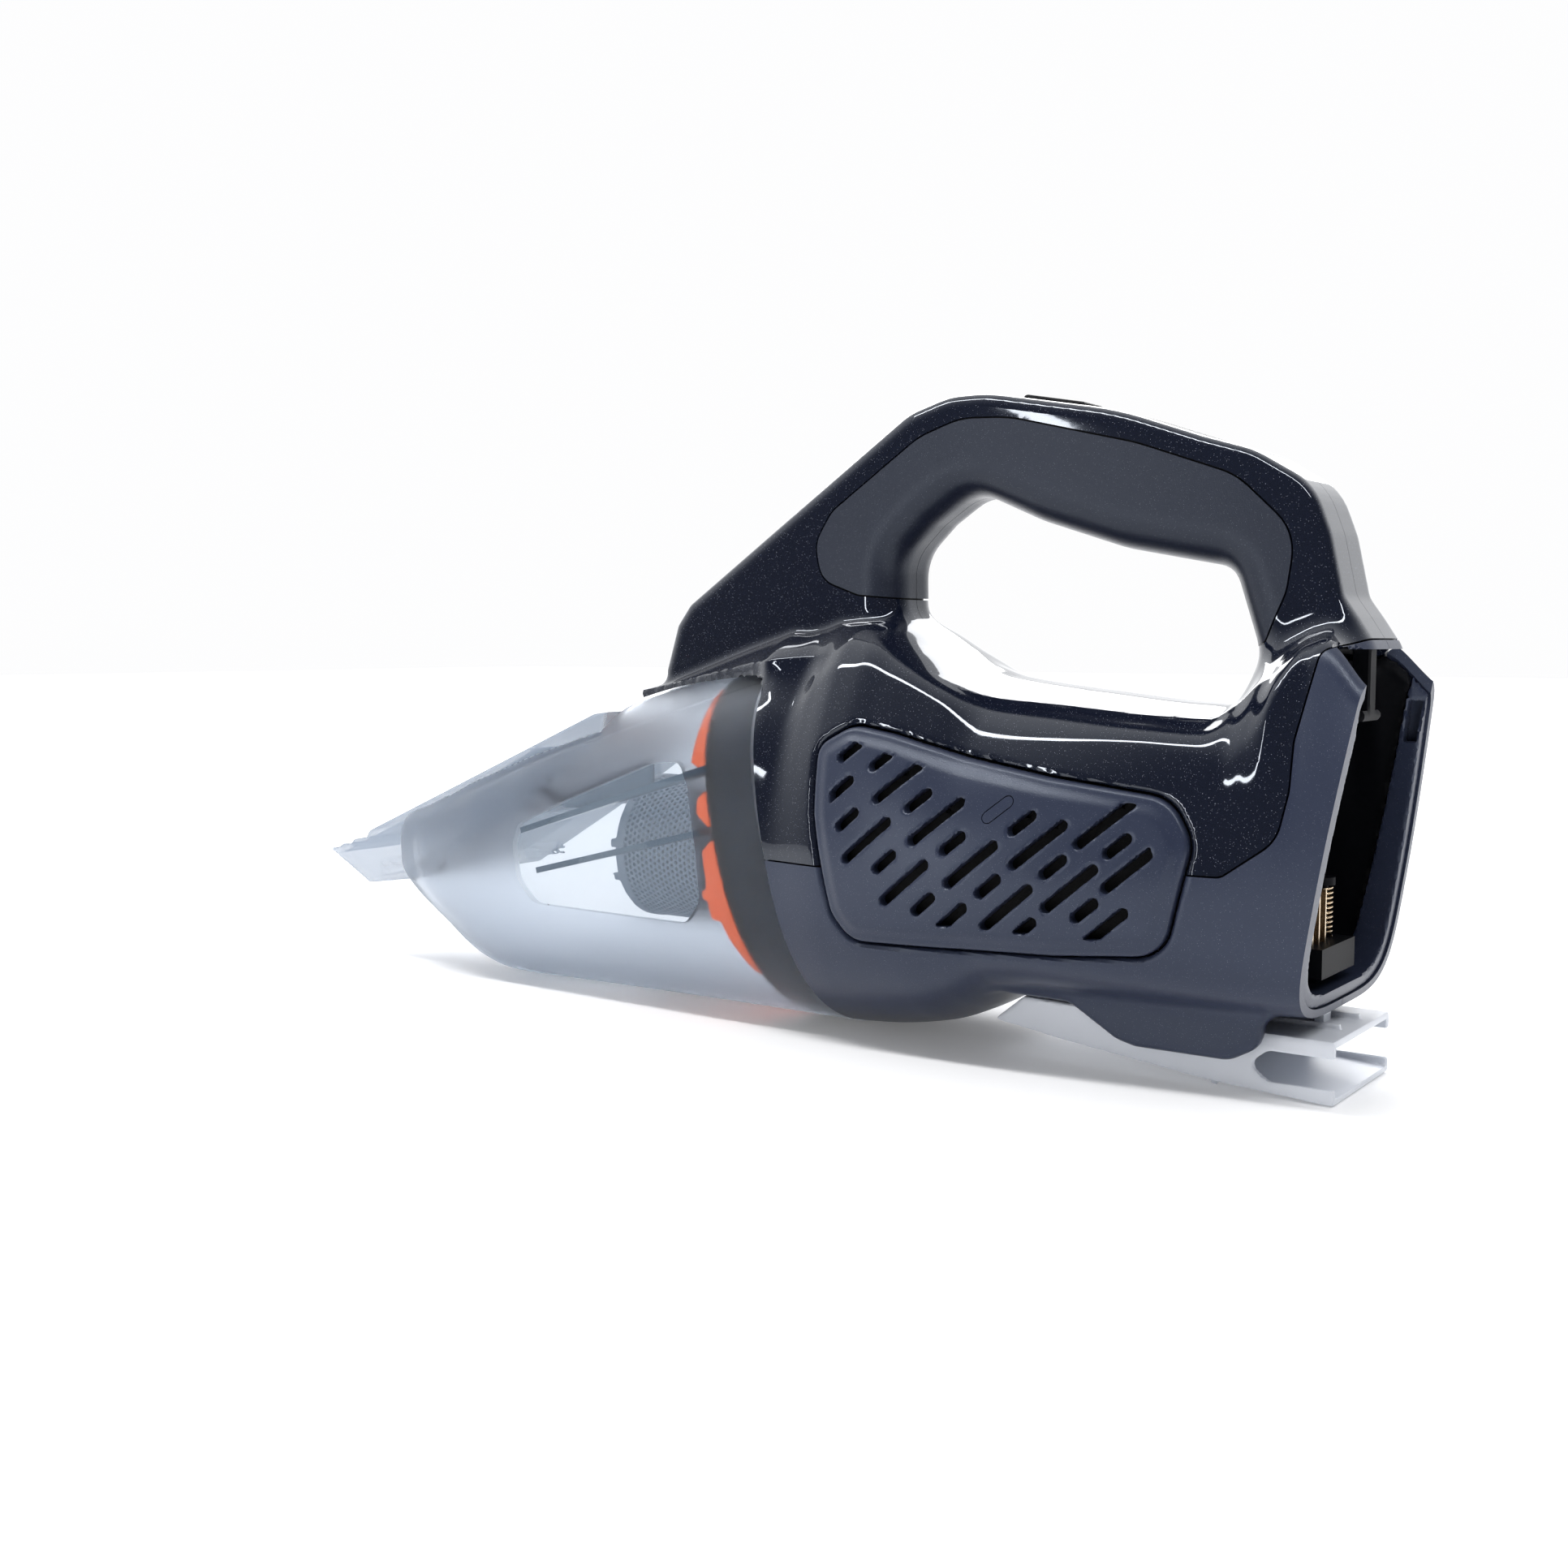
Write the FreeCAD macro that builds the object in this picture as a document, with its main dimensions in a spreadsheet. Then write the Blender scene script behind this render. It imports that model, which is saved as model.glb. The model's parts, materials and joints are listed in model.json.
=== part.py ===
"""Cordless hand vacuum as a FreeCAD parametric document, in millimetres.

The nozzle points to -X, the battery bay to +X, the left side is -Y and +Z is up. The origin is under
the middle of the overall length and width, on the surface that the vacuum rests on.
"""

import FreeCAD
import Part
import math
import os

import Sketcher
from FreeCAD import Placement, Rotation, Vector

DRIVING = {
    "wall": 2.4,
    "bowl_wall": 2.0,
    "gap": 0.2,
    "axis_height": 64.0,
    "bowl_half": 53.0,
    "bowl_top": 125.0,
    "body_half": 58.0,
    "rear_half": 43.5,
    "seam_x": 19.0,
    "rim_x": 4.0,
    "seam_lean": 0.2,
    "nozzle_tip": -217.0,
    "nozzle_half": 36.0,
    "nose_x": -182.0,
    "rear_x": 217.0,
    "deck_height": 117.0,
    "belly_height": 22.0,
    "parting_height": 61.0,
    "grip_top": 214.0,
    "grip_half": 17.0,
    "tool_half": 26.0,
    "tool_front": 97.0,
    "tool_rear": 209.0,
    "tool_height": 20.0,
    "tool_wall": 1.8,
    "motor_radius": 18.0,
    "motor_length": 57.0,
    "motor_front": 68.0,
    "shaft_radius": 1.6,
    "fan_radius": 38.0,
    "fan_front": 48.0,
    "cup_radius": 27.0,
    "cup_front": -64.0,
    "cup_height": 55.0,
    "slot_width": 3.0,
    "slot_pitch": 8.15,
    "slot_column": 20.2,
    "slot_long": 19.3,
    "slot_short": 7.3,
    "slot_slant": 41.0,
    "screw_radius": 1.5,
    "screw_head": 3.0,
    "screw_length": 24.0,
    "spring_radius": 2.6,
    "spring_wire": 0.35,
    "blade_height": 16.0,
    "bay_floor": 29.0,
    "bay_front": 174.0,
    "bay_wall": 2.2,
}

doc = FreeCAD.newDocument("hand_vacuum")
sheet = doc.addObject("Spreadsheet::Sheet", "sizes")
for row, (alias, value) in enumerate(DRIVING.items(), 1):
    sheet.set(f"A{row}", alias)
    sheet.set(f"B{row}", str(value))
    sheet.setAlias(f"B{row}", alias)
doc.recompute()


class Size:
    """A number together with the spreadsheet expression that it comes from."""

    def __init__(self, value, text):
        self.value = value
        self.text = text

    @staticmethod
    def of(thing):
        return thing if isinstance(thing, Size) else Size(float(thing), f"({float(thing)})")

    def __add__(self, other):
        other = Size.of(other)
        return Size(self.value + other.value, f"({self.text} + {other.text})")

    def __sub__(self, other):
        other = Size.of(other)
        return Size(self.value - other.value, f"({self.text} - {other.text})")

    def __mul__(self, other):
        other = Size.of(other)
        return Size(self.value * other.value, f"({self.text} * {other.text})")

    def __neg__(self):
        return self * -1.0


D = {alias: Size(value, f"sizes.{alias}") for alias, value in DRIVING.items()}

SIDE_VIEW = Rotation(Vector(1, 0, 0), 90)
ALONG_X = Rotation(Vector(0, 1, 0), 90)
ALONG_Y = Rotation(Vector(1, 0, 0), -90)
REACH = 80.0


# ---------------------------------------------------------------- building blocks


def bind(thing, path, size):
    """Bind one property of an object to the sheet."""
    thing.setExpression(path, Size.of(size).text)


def place(thing, x, y, z, rotation=None):
    """Put an object at sheet-driven coordinates."""
    thing.Placement = Placement(Vector(0, 0, 0), rotation or Rotation())
    for path, size in zip(("x", "y", "z"), (x, y, z)):
        bind(thing, f"Placement.Base.{path}", size)
    return thing


def box(name, x, y, z, length, width, height):
    """A box from its lowest corner and its sizes."""
    solid = doc.addObject("Part::Box", name)
    for path, size in zip(("Length", "Width", "Height"), (length, width, height)):
        bind(solid, path, size)
    return place(solid, x, y, z)


def rod(name, x, y, z, radius, length, rotation=ALONG_X):
    """A cylinder that starts at a point and runs along +X, or another axis."""
    solid = doc.addObject("Part::Cylinder", name)
    bind(solid, "Radius", radius)
    bind(solid, "Height", length)
    return place(solid, x, y, z, rotation)


def fuse(name, *shapes):
    solid = doc.addObject("Part::MultiFuse", name)
    solid.Shapes = list(shapes)
    return solid


def common(name, first, second):
    solid = doc.addObject("Part::Common", name)
    solid.Base = first
    solid.Tool = second
    return solid


def cut(name, base, *tools):
    solid = doc.addObject("Part::Cut", name)
    solid.Base = base
    solid.Tool = tools[0] if len(tools) == 1 else fuse(name + "_tools", *tools)
    return solid


def mirror(name, source):
    """The same piece on the other side of the length-height plane."""
    solid = doc.addObject("Part::Mirroring", name)
    solid.Source = source
    solid.Normal = Vector(0, 1, 0)
    return solid


def fix_point(sketch, geometry, end, x, y):
    """Hold a point of the sketch at sheet-driven coordinates."""
    for kind, size in (("DistanceX", Size.of(x)), ("DistanceY", Size.of(y))):
        index = sketch.addConstraint(Sketcher.Constraint(kind, -1, 1, geometry, end, size.value))
        bind(sketch, f"Constraints[{index}]", size)


def draw(sketch, points):
    """Draw a closed outline. A point is (x, y) or (x, y, bulge), reached by an arc from the last one."""
    corners = [Vector(Size.of(p[0]).value, Size.of(p[1]).value, 0) for p in points]
    edges = []
    for index, start in enumerate(corners):
        after = (index + 1) % len(points)
        end = corners[after]
        if len(points[after]) == 3:
            sideways = Vector(end.y - start.y, start.x - end.x, 0) * (points[after][2] / 2)
            edges.append(sketch.addGeometry(Part.Arc(start, (start + end) * 0.5 + sideways, end)))
            bulge = abs(points[after][2])
            radius = (end - start).Length * (1 + bulge**2) / (4 * bulge)
            sketch.addConstraint(Sketcher.Constraint("Radius", edges[-1], radius))
        else:
            edges.append(sketch.addGeometry(Part.LineSegment(start, end)))

    def end_at(edge, corner):
        return 1 if sketch.getPoint(edge, 1).sub(corner).Length < 1e-6 else 2

    for index, corner in enumerate(corners):
        edge = edges[index]
        before = edges[index - 1]
        meet = Sketcher.Constraint("Coincident", before, end_at(before, corner), edge, end_at(edge, corner))
        sketch.addConstraint(meet)
        fix_point(sketch, edge, end_at(edge, corner), points[index][0], points[index][1])


def side_outline(name, *outlines):
    """A sketch seen from the left side: its x is the vacuum's X and its y is Z."""
    sketch = doc.addObject("Sketcher::SketchObject", name)
    sketch.Placement = Placement(Vector(0, 0, 0), SIDE_VIEW)
    for points in outlines:
        draw(sketch, points)
    return sketch


def prism(name, sketch, half):
    """Extrude a side outline to both sides of the middle plane."""
    solid = doc.addObject("Part::Extrusion", name)
    solid.Base = sketch
    solid.DirMode = "Normal"
    solid.Solid = True
    solid.Symmetric = True
    bind(solid, "LengthFwd", Size.of(half) * 2)
    return solid


def side_prism(name, points, half=REACH):
    return prism(name, side_outline(name + "_outline", points), half)


def left_prism(name, points, y_near, y_far):
    """Extrude a side outline between two distances on the left side."""
    solid = doc.addObject("Part::Extrusion", name)
    solid.Base = side_outline(name + "_outline", points)
    solid.DirMode = "Normal"
    solid.Solid = True
    bind(solid, "LengthFwd", y_far)
    bind(solid, "LengthRev", -Size.of(y_near))
    return solid


def plane_of(body, role):
    return next(f for f in body.Origin.OriginFeatures if f.Role == role)


def body_sketch(body, name, role, offset):
    """A sketch on an origin plane of its body, moved along the plane's normal."""
    sketch = body.newObject("Sketcher::SketchObject", name)
    sketch.AttachmentSupport = [(plane_of(body, role), "")]
    sketch.MapMode = "FlatFace"
    bind(sketch, "AttachmentOffset.Base.z", offset)
    return sketch


def round_section(sketch, half, low, high, round_low, round_high):
    """A cross-section: an upright rectangle about the middle plane with rounded corners."""
    quarter = math.tan(math.pi / 8)
    draw(
        sketch,
        [
            (round_low - half, low, quarter),
            (half - round_low, low),
            (half, low + round_low, quarter),
            (half, high - round_high),
            (half - round_high, high, quarter),
            (round_high - half, high),
            (-half, high - round_high, quarter),
            (-half, low + round_low),
        ],
    )


def lofted(name, stations, inset=0.0):
    """A body lofted along X through rounded sections: (x, half width, low, high, low round, high round)."""
    body = doc.addObject("PartDesign::Body", name)
    sections = []
    for index, (x, half, low, high, round_low, round_high) in enumerate(stations):
        sketch = body_sketch(body, f"{name}_section_{index}", "YZ_Plane", x)
        low = Size.of(low) + inset
        high = Size.of(high) - inset
        round_section(sketch, Size.of(half) - inset, low, high, Size.of(round_low) - inset,
                      Size.of(round_high) - inset)
        sections.append(sketch)
    loft = body.newObject("PartDesign::AdditiveLoft", name + "_loft")
    loft.Profile = sections[0]
    loft.Sections = sections[1:]
    loft.Ruled = True
    return body


def turned(name, points, axis_height):
    """A body of revolution about a line along X. Points are (x, radius)."""
    body = doc.addObject("PartDesign::Body", name)
    sketch = body_sketch(body, name + "_profile", "XZ_Plane", 0)
    draw(sketch, points)
    turn = body.newObject("PartDesign::Revolution", name + "_turn")
    turn.Profile = sketch
    turn.ReferenceAxis = (sketch, ["H_Axis"])
    turn.Angle = 360
    place(body, 0, 0, axis_height)
    return body


def across(name, x, section, length, lean=0.0):
    """Extrude a rounded section along X, leaning back at the top by an angle in degrees."""
    sketch = doc.addObject("Sketcher::SketchObject", name + "_section")
    round_section(sketch, *[Size.of(value) for value in section])
    lying = Rotation(Vector(0, 1, 0), -lean).multiply(Rotation(Vector(1, 1, 1), 120))
    place(sketch, x, 0, D["axis_height"], lying)
    solid = doc.addObject("Part::Extrusion", name)
    solid.Base = sketch
    solid.DirMode = "Normal"
    solid.Solid = True
    bind(solid, "LengthFwd", length)
    return solid


def coil(name, x, y, z, length, pitch, rotation=Rotation()):
    """A compression spring: a round wire swept along a helix."""
    helix = doc.addObject("Part::Helix", name + "_path")
    for path, size in (("Radius", D["spring_radius"]), ("Height", length), ("Pitch", pitch)):
        bind(helix, path, size)
    wire = doc.addObject("Part::Circle", name + "_wire")
    bind(wire, "Radius", D["spring_wire"])
    place(wire, D["spring_radius"], 0, 0, Rotation(Vector(1, 0, 0), 90))
    spring = doc.addObject("Part::Sweep", name)
    spring.Sections = [wire]
    spring.Spine = (helix, ["Edge1"])
    spring.Solid = True
    spring.Frenet = True
    return place(spring, x, y, z, rotation)


PARTS = {}


def part(label, thing):
    """Name the object whose shape is one finished piece."""
    thing.Label = label
    PARTS[label] = thing
    return thing


def seam_line(height, offset=0.0):
    """X of the leaning joint between bowl and body at a height."""
    return D["seam_x"] + offset - D["seam_lean"] * (height - DRIVING["axis_height"])


def rear_line(height):
    """X of the leaning rear edge of the battery bay at a height."""
    return D["rear_x"] - 0.153 * (121.0 - height)


LEAN_ANGLE = math.degrees(math.atan(DRIVING["seam_lean"]))
LEFT_HALF = box("left_half", -300, -REACH, -20, 600, REACH, 300)

# ---------------------------------------------------------------- body hull and handle

HULL = [
    (0, D["bowl_half"], 0.6, D["bowl_top"], 40, 44),
    (24, D["bowl_half"] + 0.6, 0.6, D["bowl_top"] + 0.5, 40, 44),
    (55, D["body_half"], 1.0, D["bowl_top"] - 1, 40, 44),
    (80, D["body_half"], 6, D["deck_height"] + 3, 36, 40),
    (98, D["body_half"] - 0.5, D["belly_height"], D["deck_height"] + 1, 30, 36),
    (160, D["body_half"] - 7, D["belly_height"] + 1, D["deck_height"], 26, 30),
    (180, D["rear_half"] + 6, D["belly_height"] + 1.5, D["deck_height"] + 3, 22, 22),
    (200, D["rear_half"] + 2, D["belly_height"] + 2, D["deck_height"] + 16, 18, 14),
    (224, D["rear_half"], D["belly_height"] + 2, D["deck_height"] + 1, 16, 12),
]

body_span = side_prism(
    "body_span",
    [
        (seam_line(-20), -20),
        (rear_line(-20), -20),
        (rear_line(150), 150),
        (seam_line(150), 150),
    ],
)
hull_outer = lofted("hull_outer", HULL)
hull_inner = lofted("hull_inner", HULL, D["wall"])
hull_shell = cut("hull_shell", common("hull_solid", hull_outer, body_span), hull_inner)

HANDLE = [
    (-50, 121),
    (-71, 112.8),
    (-60, 113.4),
    (0, D["bowl_top"] + 1.3),
    (7, D["bowl_top"] + 1.6),
    (9.5, 112),
    (60, 105),
    (200, 105),
    (214, 108),
    (216, 131),
    (210, 140),
    (205, 145),
    (199, 167),
    (189, 184, 0.2),
    (174, 191, 0.1),
    (132, 205),
    (86, D["grip_top"], 0.08),
    (71, D["grip_top"]),
    (56, 209, 0.12),
    (-38, 147),
    (-44, 140),
]
FINGER_LOOP = [
    (54, 141),
    (64, 133),
    (84, 121),
    (105, 112),
    (170, 110),
    (176, 124),
    (176, 134),
    (172, 147),
    (165, 156, 0.3),
    (133, 163),
    (105, 172),
    (86, 181),
    (70, 181, 0.25),
    (54, 162, 0.25),
]
handle_full = side_prism("handle_full", HANDLE, D["grip_half"])
finger_hole = side_prism("finger_hole", FINGER_LOOP, D["grip_half"] + 5)
handle_block = cut("handle_block", handle_full, finger_hole)


def offset_prism(name, outline, distance, half):
    """A prism whose outline is another outline moved outwards, or inwards by a negative distance."""
    moved = doc.addObject("Part::Offset2D", name + "_outline")
    moved.Source = doc.getObject(outline)
    moved.Join = "Intersection"
    bind(moved, "Value", distance)
    return prism(name, moved, half)


handle_core = cut(
    "handle_core",
    offset_prism("core_full", "handle_full_outline", -D["wall"], D["grip_half"] - D["wall"]),
    offset_prism("core_hole", "finger_hole_outline", D["wall"], D["grip_half"]),
)

SCREWS = [(-16, 136), (4, 158), (195.5, 152), (150, 103), (135, 31), (58, 11)]
HEAD_SEAT = 12.0
posts = [
    rod(f"post_{i}", x, -REACH, z, D["screw_radius"] + 2.7, REACH, ALONG_Y)
    for i, (x, z) in enumerate(SCREWS)
]
outer_form = fuse("outer_form", doc.getObject("hull_solid"), handle_block)
post_stock = common("post_stock", fuse("post_rods", *posts), outer_form)
pilots = fuse(
    "pilots",
    *[
        rod(f"pilot_{i}", x, -HEAD_SEAT - 1, z, D["screw_radius"] + 0.05, HEAD_SEAT + 2, ALONG_Y)
        for i, (x, z) in enumerate(SCREWS)
    ],
)

handle_shell = cut("handle_shell", handle_block, handle_core, hull_inner)
housing = fuse("housing", hull_shell, handle_shell)
housing_left = common("housing_left", housing, LEFT_HALF)
housing_left = fuse("housing_left_posts", housing_left, post_stock)

# ---------------------------------------------------------------- split lines on the side

UPPER = [
    (-80, D["parting_height"]),
    (60, D["parting_height"]),
    (172, D["parting_height"] + 6),
    (184, D["parting_height"] + 6),
    (199, D["parting_height"] + 28, 0.35),
    (199, 106),
    (204, 131),
    (240, 145),
    (240, 230),
    (-80, 230),
]
GRIP = [
    (35, 151),
    (56, 145.5),
    (100, 140),
    (165, 132),
    (183, 135),
    (188, 146),
    (190, 160),
    (181, 178, 0.25),
    (166, 185),
    (140, 194),
    (109, 203),
    (82, 206, 0.05),
    (64, 200, 0.15),
    (25, 177),
    (21, 171, 0.2),
    (20, 162),
    (23, 155, 0.2),
]
VENT = [
    (45, 98),
    (50, 66),
    (57, 46),
    (70, 37.5, 0.3),
    (160, 41),
    (168, 50, 0.35),
    (173, 77),
    (165, 90, 0.35),
    (98, 98),
    (65, 106.5),
    (52, 107, 0.1),
]
TOP_PANEL = [
    (62, 207),
    (86, 211.5),
    (132, 202.6),
    (157, 193.4),
    (160, 200),
    (132, 212),
    (90, 222),
    (58, 218),
]

upper_zone = side_prism("upper_zone", UPPER)
grip_zone = side_prism("grip_zone", GRIP)
vent_zone = left_prism("vent_zone", VENT, 30, REACH)
panel_zone = side_prism("panel_zone", TOP_PANEL, 9.5)
grip_solid = cut("grip_solid", grip_zone, hull_outer)

BUTTON_LOW, BUTTON_HIGH, BUTTON_HALF = 124.0, 137.0, 7.0
button_pocket = box("button_pocket", -60, -BUTTON_HALF - 0.4, BUTTON_LOW - 0.4, 24, BUTTON_HALF * 2 + 0.8,
                    BUTTON_HIGH - BUTTON_LOW + 0.8)
spring_seat = cut(
    "spring_seat",
    box("seat_wall", -31, -15, 124, 2.4, 15, 14),
    rod("seat_hole", -32, 0, 130.5, D["spring_radius"] + 0.9, 5),
)

upper_left = cut(
    "upper_left",
    common("upper_left_stock", housing_left, upper_zone),
    grip_solid,
    vent_zone,
    panel_zone,
    button_pocket,
    pilots,
)
upper_left = fuse("upper_left_seat", upper_left, spring_seat)
grip_left = common("grip_left_piece", housing_left, grip_solid)

SKIRT = [
    (99, 28),
    (103, 22.5),
    (130, 22),
    (143, 13),
    (148, 11),
    (181, 11),
    (187, 15, 0.3),
    (191, 28),
]
skirt = cut("skirt", left_prism("skirt_plate", SKIRT, 28.5, 33.5), hull_inner)
lower_left = cut(
    "lower_left",
    fuse("lower_left_stock", cut("lower_left_shell", housing_left, upper_zone), skirt),
    vent_zone,
    pilots,
)

recesses = []
for index, (x, z) in enumerate(SCREWS):
    recesses.append(rod(f"recess_{index}", x, HEAD_SEAT, z, D["screw_head"] + 0.3, REACH, ALONG_Y))
    recesses.append(rod(f"passage_{index}", x, -1, z, D["screw_radius"] + 0.2, 20, ALONG_Y))
recesses = fuse("recesses", *recesses)
part("upper_housing_left", upper_left)
part("lower_housing_left", lower_left)
part("grip_left", grip_left)
part("upper_housing_right", cut("upper_right", mirror("upper_mirror", upper_left), recesses))
part("lower_housing_right", cut("lower_right", mirror("lower_mirror", lower_left), recesses))
part("grip_right", mirror("grip_mirror", grip_left))
SWITCH_SLOPE = 11.07
sloped = Rotation(Vector(0, 1, 0), SWITCH_SLOPE)
switch_opening = box("switch_opening", 86.2, -7.4, 195, 32.9, 14.8, 40)
switch_opening.Placement.Rotation = sloped
part("handle_top_panel", cut(
    "top_panel_piece",
    common("top_panel_stock", handle_block, panel_zone),
    switch_opening,
))

screws = []
for index, (x, z) in enumerate(SCREWS):
    shank = rod(f"shank_{index}", x, -HEAD_SEAT, z, D["screw_radius"], D["screw_length"], ALONG_Y)
    head = rod(f"head_{index}", x, HEAD_SEAT, z, D["screw_head"], 2.2, ALONG_Y)
    socket = rod(f"socket_{index}", x, HEAD_SEAT + 1, z, 1.3, 2, ALONG_Y)
    screws.append(cut(f"screw_{index}", fuse(f"screw_stock_{index}", shank, head), socket))
part("housing_screws", fuse("screw_group", *screws))

# ---------------------------------------------------------------- vent panels


def slot_cutters():
    """Slanted round-ended slots in rows and columns, long and short by turns, inside an inner outline."""
    slant = math.radians(DRIVING["slot_slant"])
    along = Vector(math.cos(slant), 0, math.sin(slant))
    down = Vector(math.sin(slant), 0, -math.cos(slant))
    middle = Vector(126.8, 0, 73.3)
    radius = DRIVING["slot_width"] / 2
    cutters = []
    for column in range(-3, 2):
        for line in range(-8, 5):
            length = DRIVING["slot_long"] if (column + line) % 2 == 0 else DRIVING["slot_short"]
            spot = middle + along * (column * DRIVING["slot_column"])
            tail = spot + down * (line * DRIVING["slot_pitch"]) - along * (length / 2)
            flat = Part.makeBox(length, radius * 2, 60, Vector(0, -radius, -30))
            ends = [Part.makeCylinder(radius, 60, Vector(x, 0, -30)) for x in (0, length)]
            slot = flat.fuse(ends[0]).fuse(ends[1])
            facing = Rotation(along, Vector(0, 0, 0), Vector(0, -1, 0))
            slot.Placement = Placement(tail + Vector(0, -55, 0), facing)
            cutters.append(slot)
    return Part.makeCompound(cutters)


slots = doc.addObject("Part::Feature", "slots")
slots.Shape = slot_cutters()
SLOT_ZONE = [
    (53, 99),
    (57, 66),
    (67, 46.8),
    (156, 46.8),
    (162, 75),
    (152, 86),
    (100, 86),
    (86, 92),
    (57, 100.5),
]
slot_zone = side_prism("slot_zone", SLOT_ZONE)
blind = rod("blind_spot", 113.7, -REACH, 82.9, 7, REACH, ALONG_Y)
slot_tools = cut("slot_tools", common("slot_tools_in_zone", slots, slot_zone), blind)
panel_outer = lofted("panel_outer", HULL, -1.2)
panel_inner = lofted("panel_inner", HULL, 1.2)
vent_left = cut("vent_left", common("vent_stock", panel_outer, vent_zone), panel_inner, slot_tools)
part("vent_panel_left", vent_left)
part("vent_panel_right", mirror("vent_mirror", vent_left))

# ---------------------------------------------------------------- battery bay

bay_zone = side_prism(
    "bay_zone",
    [
        (D["bay_front"], 20),
        (rear_line(20) - 0.5, 20),
        (rear_line(150) - 0.5, 150),
        (D["bay_front"], 150),
    ],
)
bay_outer = lofted("bay_outer", HULL, D["wall"] + D["gap"])
bay_inner = lofted("bay_inner", HULL, D["wall"] + D["gap"] + D["bay_wall"])
bay_depth = side_prism(
    "bay_depth",
    [
        (D["bay_front"] + 2.2, 20),
        (240, 20),
        (240, 150),
        (D["bay_front"] + 2.2, 150),
    ],
)
RAIL = [
    (rear_line(45) - 10, 45),
    (rear_line(45) - 6.5, 45),
    (rear_line(110) - 6.5, 110),
    (rear_line(110) - 10, 110),
]
rail_left = left_prism("rail_left", RAIL, 34, 42)
cradle_stock = common("cradle_stock", bay_outer, bay_zone)
cradle = cut("cradle_tray", cradle_stock, common("cradle_hollow", bay_inner, bay_depth))
cradle = cut("cradle_clear", cradle, handle_shell, post_stock, mirror("post_mirror", post_stock))
part("battery_cradle", fuse("cradle_rails", cradle, rail_left, mirror("rail_right", rail_left)))

BLOCK_X, BLOCK_Y, BLOCK_Z = 184.0, -12.0, 34.0
block = cut(
    "block",
    box("block_body", BLOCK_X, BLOCK_Y, BLOCK_Z, 16, 30, 9),
    rod("plunger_hole", 192, 12, BLOCK_Z - 1, 1.5, 20, Rotation()),
)
blades = [
    box(f"blade_{i}", BLOCK_X + 4, BLOCK_Y + 3 + 5.5 * i, BLOCK_Z + 9, 8, 0.8, D["blade_height"])
    for i in range(3)
]
part("terminal_block", block)
part("battery_terminals", fuse("blade_group", *blades))
part("eject_spring", coil("eject_coil", 192, 12, BLOCK_Z + 9.4, 15, 1.5))
part("eject_plunger", fuse(
    "plunger",
    rod("plunger_head", 192, 12, BLOCK_Z + 25.2, 3.4, 2.4, Rotation()),
    rod("plunger_pin", 192, 12, BLOCK_Z + 8, 1.3, 18, Rotation()),
))

# ---------------------------------------------------------------- switch and release button

slider_pad = box("slider_pad", 96, -7, 210.4, 22, 14, 3.4)
slider_pad.Placement.Rotation = sloped
slider_pad_round = doc.addObject("Part::Fillet", "slider_pad_round")
slider_pad_round.Base = slider_pad
slider_stem = box("slider_stem", 102, -3, 203, 8, 6, 7.5)
slider_stem.Placement.Rotation = sloped
part("power_switch", fuse("slider", slider_pad_round, slider_stem))
part("switch_module", box("switch_box", 90, -6, 188, 28, 12, 12))

button = fuse(
    "button",
    side_prism(
        "button_face",
        [
            (-49.8, BUTTON_LOW),
            (-41.5, BUTTON_LOW),
            (-41.5, BUTTON_HIGH),
            (-45.7, BUTTON_HIGH),
        ],
        BUTTON_HALF,
    ),
    rod("button_pin", -42, 0, 130.5, 1.8, 9),
)
part("release_button", button)
part("release_spring", coil("release_coil", -40.8, 0, 130.5, 10.5, 1.5, ALONG_X))

# ---------------------------------------------------------------- motor and fan

motor = cut(
    "motor",
    fuse(
        "motor_stock",
        rod("motor_can", D["motor_front"], 0, D["axis_height"], D["motor_radius"], D["motor_length"]),
        rod("motor_boss", D["motor_front"] - 3, 0, D["axis_height"], 6, 4),
        rod("motor_tail", D["motor_front"] + D["motor_length"], 0, D["axis_height"], 8, 4),
    ),
    rod("motor_bore", D["motor_front"] - 10, 0, D["axis_height"], D["shaft_radius"] + 0.05, 90),
)
part("motor", motor)
part("motor_shaft", rod("shaft", D["fan_front"] - 4, 0, D["axis_height"], D["shaft_radius"], 84))

mount = turned(
    "mount",
    [
        (D["motor_front"] + 2, D["motor_radius"]),
        (D["motor_front"] + 12, D["motor_radius"]),
        (D["motor_front"] + 12, D["motor_radius"] + 3),
        (D["motor_front"] + 2, D["motor_radius"] + 3),
    ],
    D["axis_height"],
)
part("motor_mount_ring", mount)

shroud = turned(
    "shroud",
    [
        (D["fan_front"] - 4, 14),
        (D["fan_front"] - 2, 14),
        (D["fan_front"] - 2, D["fan_radius"] + 3),
        (D["fan_front"] + 16, D["fan_radius"] + 3),
        (D["fan_front"] + 16, D["fan_radius"] + 5),
        (D["fan_front"] - 4, D["fan_radius"] + 5),
    ],
    D["axis_height"],
)
part("fan_shroud", shroud)

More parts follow.
